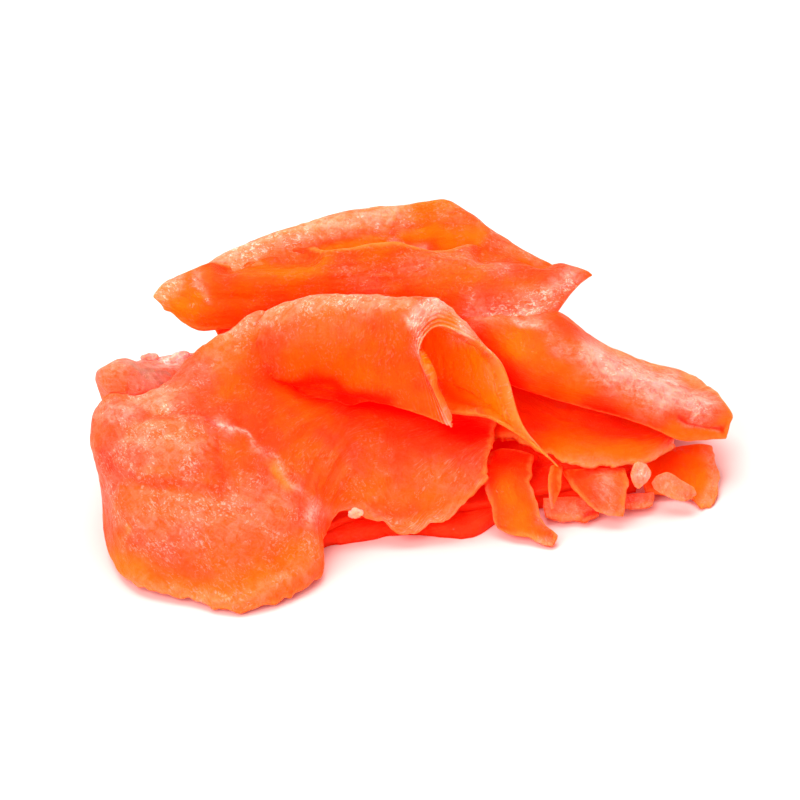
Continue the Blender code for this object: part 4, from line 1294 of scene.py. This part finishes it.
class SALMON_OT_front(bpy.types.Operator):
    """Make the large slice in front"""
    bl_idname = "salmon.front"
    bl_label = "Front slice"

    def execute(self, context):
        lay(context, "front_slice", "coral", Cut(
            front_slice, bites=(1.9, 0.3, 0.0, 0.4), edges=(0.3, 0.4, 0.6, 0.4),
            relief=(0.45, 0.22, 0.05), turn=-35, seed=21, forms=[
                (-0.8, 1.1, [(-62, 43.5), (-58, 45.6), (-49.9, 46.9), (-44.6, 46.2), (-41, 43.5)]),
                (0.4, 1.0, [(-41.5, 45), (-35.6, 40.9), (-31, 37.5), (-27.8, 35), (-23, 29.9),
                            (-18.4, 24.8)]),
                (-0.5, 1.8, [(-37.5, 44.5), (-31, 39.5), (-24.5, 33.5)]),
                (-0.7, 1.9, [(-28.8, 33.2), (-25.5, 29.5)]),
                (-0.6, 1.3, [(-65.5, 31), (-58, 28.7), (-50, 27.6), (-42, 26)]),
                (-0.5, 1.5, [(-41.5, 40), (-41, 33), (-41.5, 26)]),
                (0.9, 5.0, [(-54, 37.5), (-48, 35)]),
                (-0.6, 1.1, [(-64, 41), (-57, 39.5), (-52, 41.5), (-46, 40)]),
                (-0.5, 1.0, [(-66, 36), (-60, 34.5), (-54, 33)]),
                (0.5, 1.2, [(-62, 37), (-56, 36.5)]),
                (-0.5, 1.2, [(-50, 24), (-44, 22), (-36, 23), (-30, 27)]),
                (0.5, 1.6, [(-56, 22.5), (-48, 20)]),
                (-0.8, 1.2, [(-63.5, 18.4)]),
                (-0.6, 1.4, [(-66.3, 41), (-66.8, 34), (-66, 29)]),
            ], strokes=[
                # Partly painted sheen: the pale pink of the block at the left is its own moist film
                # and light from above.
                ("film", 0.15, 8.0, [(-62, 38), (-50, 38)]),
                ("film", 0.12, 9.0, [(-58, 22), (-40, 20), (-30, 24)]),
                ("film", 0.12, 2.6, [(-62, 6), (-46, 3), (-34, 3), (-24, 9)]),
                ("film", 0.06, 5.0, [(6, 32), (16, 30)]),
                # Partly painted glow: yellow-orange low on the slope.
                ("amber", 0.35, 5.0, [(-6, 27), (8, 26)]),
                # Painted shade below the lobe at the left and in the dips and furrows of the block.
                ("deep", 0.5, 0.9, [(-61, 44.3), (-57, 44.8), (-53, 44.4)]),
                ("deep", 0.4, 1.8, [(-68.5, 37), (-67, 33.5)]),
                ("deep", 0.4, 0.9, [(-63, 31.5), (-56, 30), (-50, 29.6), (-44, 28.3)]),
                ("deep", 0.3, 1.2, [(-41.5, 40), (-41, 33), (-41.5, 26)]),
                ("film", 0.22, 3.0, [(-68, 45), (-61, 48), (-54, 49)]),
                ("film", 0.08, 4.0, [(-52, 50), (-45, 57), (-38, 63.5)]),
                ("film", 0.03, 10.0, [(-14, 34), (4, 30)]),
                # Painted light on the crest of the front slice beside the fold's crown: pale and
                # yellow-orange where light from above falls.
                ("film", 0.15, 3.0, [(-40, 64), (-34, 68), (-28, 70)]),
                ("amber", 0.4, 4.5, [(-38, 62), (-31, 66), (-26, 68)]),
                ("film", 0.12, 3.0, [(-67, 20), (-69, 30), (-70, 38)]),
                ("film", 0.06, 3.5, [(-63, 24), (-54, 21), (-46, 22)]),
                ("film", 0.1, 3.0, [(-19.5, 24), (-21, 14), (-22, 8)]),
                ("film", 0.12, 1.8, [(-16, 23.5), (-8, 22.5), (1, 18.5), (9, 20.5), (15, 25)]),
                ("fat", 0.26, 0.6, [(-40.8, 44.4), (-37.5, 42.4), (-35, 40.3)]),
                ("fat", 0.12, 1.1, [(-41.5, 44.8), (-35.6, 40.6), (-31.5, 37.4)]),
                ("fat", 0.1, 0.8, [(-31, 37), (-27, 33.4), (-23, 28.5), (-19.5, 24.8)]),
                ("fat", 0.3, 1.7, [(-19.6, 23.2)]),
                # Partly painted glow: yellow-orange in two small hollows and along the thin lower
                # hem.
                ("amber", 0.9, 1.6, [(-28.8, 33.2), (-25.5, 29.8)]),
                ("amber", 0.9, 1.0, [(-63.5, 18.4)]),
                ("amber", 0.85, 5.0, [(-66, 10), (-55, 5), (-40, 3), (-28, 7), (-20, 14)]),
                ("amber", 0.6, 2.6, [(-13, 22.5), (0, 18.5), (10, 21), (16, 26)]),
                # Painted shade below the lobe and in the groove under the fold.
                ("deep", 0.4, 0.7, [(-60.5, 45.3), (-49.9, 46.7), (-44.6, 46.2), (-41.9, 44.6)]),
                ("deep", 0.6, 3.0, [(-29, 54), (-21, 52.5)]),
                ("deep", 0.9, 3.4, [(-19, 52.5), (-12, 50.5)]),
                ("deep", 1.0, 4.0, [(-9, 49), (0, 47), (11, 43.5), (19, 41)]),
                ("deep", 0.35, 6.0, [(-10, 45), (6, 42), (16, 39)]),
            ]))
        return {"FINISHED"}


class SALMON_OT_pleat(bpy.types.Operator):
    """Make the fold above the front slice"""
    bl_idname = "salmon.pleat"
    bl_label = "Pleat"

    def execute(self, context):
        # The fold's inner face is lined: painted glow and yellow-orange stand in for light coming
        # through its thin wall.
        lay(context, "pleat_slice", "coral", Cut(
            pleat_slice, finer=(10, 0), thickness=2.2, below=("front_slice", "mid_right_slice"),
            bites=(1.1, 0.1, 0.5, 0.0), edges=(0.35, 0.8, 0.4, 1.0), relief=(0.25, 0.12, 0.1),
            turn=85, seed=31, rings=0.16, lining_glow=0.9, hugs=[
                ("front_slice", 3, 12.0, 0.5, within(-60, 60)),
                ("front_slice", 0, 3.0, 0.3, within(-60, -13)),
            ], strokes=[
                # Partly painted highlight: paleness along the crown lit from above and the outer
                # border of the right leg.
                ("film", 0.2, 3.5, [(-34, 69), (-24, 72), (-12, 73), (0, 72.5)]),
                ("film", 0.03, 4.0, [(-28, 66), (-12, 66)]),
                ("film", 0.5, 2.4, [(3.0, 67), (5.5, 69.5), (9, 71), (12, 70)]),
                ("film", 0.3, 1.2, [(2.6, 66), (4, 62), (6, 57), (9, 51), (12, 43)]),
                ("film", 0.5, 2.0, [(11, 70.5), (14.3, 67.8), (16.5, 65)]),
                ("film", 0.1, 1.3, [(17, 66), (21, 61), (24, 53), (28, 45), (37.3, 33.1)]),
                # Partly painted light: yellow-orange on the front leg, along the crown lit from
                # above, and on the thin right leg.
                ("amber", 0.35, 4.0, [(-8, 55), (2, 50), (8, 46)]),
                ("amber", 0.4, 4.0, [(-34, 69), (-24, 72), (-12, 73), (0, 72.5)]),
                ("amber", 1.0, 3.4, [(11, 68), (16, 62), (20, 52.5), (24, 44.5), (32, 36)]),
                # Painted shade along the fold's lower edge and low in the opening under its right
                # leg.
                ("deep", 0.9, 2.4, [(-30, 54.6), (-20, 53), (-12, 50.4), (-4, 48)]),
                ("deep", 0.7, 1.6, [(9, 52), (14, 48), (20, 43.5)]),
            ]))
        return {"FINISHED"}


class SALMON_OT_left_back(bpy.types.Operator):
    """Make the slice behind the left end"""
    bl_idname = "salmon.left_back"
    bl_label = "Left slice"

    def execute(self, context):
        lay(context, "left_back_slice", "pink", Cut(
            left_back_slice, finer=(0, -6), bites=(0.5, 0.4, 0.2, 0.4), seed=41,
            hugs=[("front_slice", 0, 4.0, 0.3, within(-80, -40))], strokes=[
                ("brown", 1.0, 1.7, [(-64, 58), (-59, 56.6), (-57, 54.8), (-55.5, 52.6)]),
                ("brown", 1.0, 2.4, [(-58, 56.5), (-53, 55), (-50, 57)]),
                ("fat", 0.3, 0.7, [(-60.5, 59.3), (-57.2, 59.5)]),
                ("fat", 0.6, 1.5, [(-54, 59), (-49, 59.5)]),
            ]))
        return {"FINISHED"}


class SALMON_OT_back(bpy.types.Operator):
    """Make the two slices that hang down behind"""
    bl_idname = "salmon.back"
    bl_label = "Back slices"

    def execute(self, context):
        lay(context, "back_right_fold", "coral", Cut(
            back_right_fold, bites=(0.2, 0.6, 1.0, 0.4), seed=51))
        lay(context, "back_left_slice", "pink", Cut(
            back_left_slice, finer=(0, -4), below=("back_right_fold",),
            bites=(0.2, 0.6, 1.2, 0.6), seed=52))
        return {"FINISHED"}


class SALMON_OT_top(bpy.types.Operator):
    """Make the crest and the slice on top"""
    bl_idname = "salmon.top"
    bl_label = "Top slices"

    def execute(self, context):
        lay(context, "crest_slice", "coral", Cut(
            crest_slice, finer=(0, -4), thickness=2.2,
            below=("right_slice", "back_left_slice", "back_right_fold"),
            bites=(0.2, 0.3, 0.8, 0.3), relief=(0.3, 0.14, 0.08), seed=61, forms=[
                (0.6, 0.8, [(-1, 92), (-3, 87.5), (0.5, 84)]),
                (-0.5, 1.2, [(-26, 84), (-17, 84.5), (-9, 86)]),
            ], strokes=[
                ("film", 0.3, 3.0, [(-42, 81), (-30, 86), (-16, 90), (0, 92)]),
                ("film", 0.08, 2.2, [(10, 93), (14, 92), (22, 87.5), (32, 82.5)]),
                ("film", 0.3, 1.0, [(-2, 85.5), (0.5, 83.6), (5, 84)]),
                # Partly painted glow: yellow-orange along the crest and in the bright pocket, where
                # the thin flesh lets light through.
                ("amber", 0.8, 4.0, [(-42, 81), (-30, 86), (-16, 90), (0, 92), (10, 93)]),
                ("amber", 1.0, 2.2, [(-18, 83), (-9, 85.5), (-4, 85.5)]),
                ("amber", 1.0, 2.6, [(1, 86.5), (8, 88.5), (17, 87), (10, 85)]),
                ("amber", 0.7, 1.5, [(-24, 90.5), (-20, 91.5)]),
            ]))
        lay(context, "top_slice", "coral", Cut(
            top_slice, finer=(2, 0), below=("pleat_slice", "right_slice", "crest_slice"),
            bites=(0.5, 0.1, 0.3, 0.3), edges=(0.3, 0.3, 0.3, 0.4), relief=(0.3, 0.14, 0.12),
            seed=62, forms=[
                (-0.7, 1.0, [(-47.5, 78.5), (-46, 75), (-42, 72.3), (-34, 72)]),
            ], hugs=[
                ("crest_slice", 2, 9.0, 0.3, within(-40, -21, 4.0)),
                ("crest_slice", 2, 9.0, 0.3, within(19, 34, 3.0)),
                ("right_slice", 0, 6.0, 0.3, within(16, 80)),
            ], strokes=[
                ("film", 0.18, 2.2, [(-56, 73), (-53, 76.5)]),
                ("film", 0.18, 0.9, [(-47.5, 78.5), (-46, 75), (-44, 72.5)]),
                ("film", 0.05, 3.0, [(-12, 78), (-4, 76)]),
                ("film", 0.3, 2.4, [(16, 70.5), (26, 70.5), (34, 73), (40, 77)]),
                ("film", 0.08, 3.0, [(2, 80), (14, 82), (24, 80)]),
                # Partly painted glow: yellow-orange on the thin tongue at the left.
                ("amber", 0.9, 5.0, [(-57, 73), (-52, 70), (-47, 71)]),
                ("amber", 0.3, 2.4, [(-36, 78.5), (-26, 79.5), (-18, 81)]),
                # Painted shade low along the front of the top slice, where it turns down.
                ("deep", 0.25, 4.0, [(-44, 68), (-34, 69), (-16, 71)]),
            ]))
        return {"FINISHED"}


class SALMON_OT_scraps(bpy.types.Operator):
    """Make the tongues, strips and small pieces low on the right"""
    bl_idname = "salmon.scraps"
    bl_label = "Scraps"

    def execute(self, context):
        # Partly painted glow: the yellow-orange on the scraps, where their thin flesh would let light
        # through.
        pieces = (
            ("red_strip", red_strip, "pink", 2.0, 0.8, 71, ()),
            ("low_strip", low_strip, "pink", 2.0, 1.0, 72, [
                # Painted shade along the front of the strip, under the tongues.
                ("deep", 0.9, 0.9, [(33, 20.9), (39.5, 20.2), (47, 22)])]),
            ("back_right_slice", back_right_slice, "orange", 2.0, 1.4, 73, [
                ("amber", 0.9, 5.5, [(70, 38), (71, 34), (72, 29), (71, 24.5)]),
                ("film", 0.15, 1.6, [(72.5, 36), (74.5, 30), (71, 24.5)])]),
            ("small_chunk", small_chunk, "peach", 2.4, 0.3, 74, ()),
            ("round_tongue", round_tongue, "orange", 2.0, 0.8, 75, [
                ("film", 0.16, 3.4, [(48, 30), (48.5, 23)]),
                ("film", 0.18, 0.8, [(53.2, 29), (53, 24), (49, 21.4), (45, 23)])]),
            ("front_tongue", front_tongue, "orange", 2.0, 1.2, 76, [
                ("amber", 0.6, 3.5, [(25, 29), (28, 23), (30, 17)]),
                ("film", 0.15, 1.2, [(20, 29), (20.8, 22), (23.5, 17.5), (34, 15)]),
                ("film", 0.1, 1.2, [(31.5, 29), (32.5, 23), (36, 18)]),
                # Painted shade at the root of the tongue, under the front slice.
                ("deep", 0.7, 3.0, [(21, 35), (31, 35)])]),
            ("thin_sliver", thin_sliver, "orange", 1.4, 0.5, 77, [
                ("film", 0.15, 0.8, [(34.6, 28), (35.2, 24)])]),
            ("pale_scrap", pale_scrap, "peach", 1.6, 1.0, 78, [
                ("film", 0.35, 3.0, [(56.5, 31)])]),
        )
        for name, guides, look, thickness, torn, seed, strokes in pieces:
            lay(context, name, look, Cut(
                guides, finer=(-6, -6), thickness=thickness,
                bites=(1.2 * torn, torn, 0.3 * torn, 0.8 * torn),
                edges=(0.4, 0.4, 0.4, 0.4), relief=(0.4, 0.26, 0.1), turn=90, seed=seed,
                strokes=strokes))
        return {"FINISHED"}


class SALMON_OT_inside(bpy.types.Operator):
    """Make the slice at the bottom and the folded flesh inside"""
    bl_idname = "salmon.inside"
    bl_label = "Inside"

    def execute(self, context):
        # Both take the darker red look of painted shade, where they show between and under the
        # slices.
        make_core(finish_of("deep", context))
        make_base(finish_of("deep", context))
        return {"FINISHED"}


class SALMON_OT_crumbs(bpy.types.Operator):
    """Make the small lumps of fat and flesh that lie on the slices"""
    bl_idname = "salmon.crumbs"
    bl_label = "Crumbs"

    def execute(self, context):
        pieces = (
            ("slope_crumb", (-10.4, 22.6), "front_slice", (1.9, 1.2, 0.8), "cream", 81),
            ("left_crumb", (-58.6, 58.4), "left_back_slice", (1.9, 1.0, 0.9), "ash", 82),
            ("left_scrap", (-51.4, 58.6), "left_back_slice", (2.9, 1.4, 1.0), "ash", 83),
        )
        for name, place, sheet, sizes, look, seed in pieces:
            crumb(name, place, sheet, sizes, finish_of(look, context), seed)
        return {"FINISHED"}


class SALMON_OT_stage(bpy.types.Operator):
    """Set up the white floor, the soft light and the camera"""
    bl_idname = "salmon.stage"
    bl_label = "Stage"

    def execute(self, context):
        studio = context.scene.salmon_studio
        paint = Paint("white_floor")
        paint.fill(paint.shader, {"Base Color": solid(studio.floor), "Roughness": 0.6,
                                  "Specular IOR Level": 0.1})
        bpy.ops.mesh.primitive_plane_add(size=FLOOR_SIZE, location=(0, 0, -FLOOR_DROP))
        floor = context.object
        floor.name = "floor"
        floor.data.materials.append(paint.material)

        world = bpy.data.worlds.new("surroundings")
        world.use_nodes = True
        sky = world.node_tree.nodes["Background"]
        sky.inputs["Color"].default_value = (1.0, 1.0, 1.0, 1.0)
        sky.inputs["Strength"].default_value = studio.sky
        context.scene.world = world

        middle = Vector((0, 0, LIT_HEIGHT))
        for name, size, spot in LAMPS:
            lamp = bpy.data.lights.new(name, "AREA")
            lamp.energy = getattr(studio, name)
            lamp.size = size
            light = bpy.data.objects.new(name, lamp)
            light.location = spot
            light.rotation_euler = (Vector(spot) - middle).to_track_quat("Z", "Y").to_euler()
            context.scene.collection.objects.link(light)

        aim = Vector((-HEAP_CENTRE_ACROSS * MM, -HEAP_CENTRE_DEPTH * MM, 0.0))
        rise_of_middle = (FOOT_ROW - MIDDLE_ROW) * MM_PER_PIXEL * MM
        upward = Vector((0, math.sin(VIEW_TILT), math.cos(VIEW_TILT)))
        backward = Vector(TOWARD_VIEWER)
        lens = bpy.data.cameras.new("camera")
        lens.sensor_width = SENSOR_WIDTH
        lens.lens = SENSOR_WIDTH * studio.distance / studio.frame_width
        lens.clip_end = CLIP_END
        camera = bpy.data.objects.new("camera", lens)
        camera.location = aim + upward * rise_of_middle + backward * studio.distance
        camera.rotation_euler = backward.to_track_quat("Z", "Y").to_euler()
        context.scene.collection.objects.link(camera)
        context.scene.camera = camera
        context.scene.view_settings.view_transform = "Standard"
        return {"FINISHED"}


STEPS = (SALMON_OT_right, SALMON_OT_front, SALMON_OT_pleat, SALMON_OT_left_back, SALMON_OT_back,
         SALMON_OT_top, SALMON_OT_scraps, SALMON_OT_inside, SALMON_OT_crumbs, SALMON_OT_stage)


class SALMON_PT_heap(bpy.types.Panel):
    """The steps that make the heap, in order"""
    bl_label = "Smoked Salmon Heap"
    bl_space_type = "VIEW_3D"
    bl_region_type = "UI"
    bl_category = "Salmon"

    def draw(self, context):
        layout = self.layout
        for step in STEPS:
            layout.operator(step.bl_idname)
        for group in (context.scene.salmon_sizes, context.scene.salmon_colours,
                      context.scene.salmon_studio):
            box = layout.box()
            for name in group.bl_rna.properties.keys():
                if name not in ("rna_type", "name"):
                    box.prop(group, name)


CLASSES = (SalmonSizes, SalmonColours, SalmonStudio, *STEPS, SALMON_PT_heap)


def register():
    """Add the classes and their settings."""
    for item in CLASSES:
        bpy.utils.register_class(item)
    bpy.types.Scene.salmon_sizes = PointerProperty(type=SalmonSizes)
    bpy.types.Scene.salmon_colours = PointerProperty(type=SalmonColours)
    bpy.types.Scene.salmon_studio = PointerProperty(type=SalmonStudio)


def unregister():
    """Remove the settings and the classes."""
    del bpy.types.Scene.salmon_studio
    del bpy.types.Scene.salmon_colours
    del bpy.types.Scene.salmon_sizes
    for item in reversed(CLASSES):
        bpy.utils.unregister_class(item)


def main():
    """Make the heap and its stage."""
    register()
    for step in STEPS:
        group, action = step.bl_idname.split(".")
        getattr(getattr(bpy.ops, group), action)()


if __name__ == "__main__":
    main()
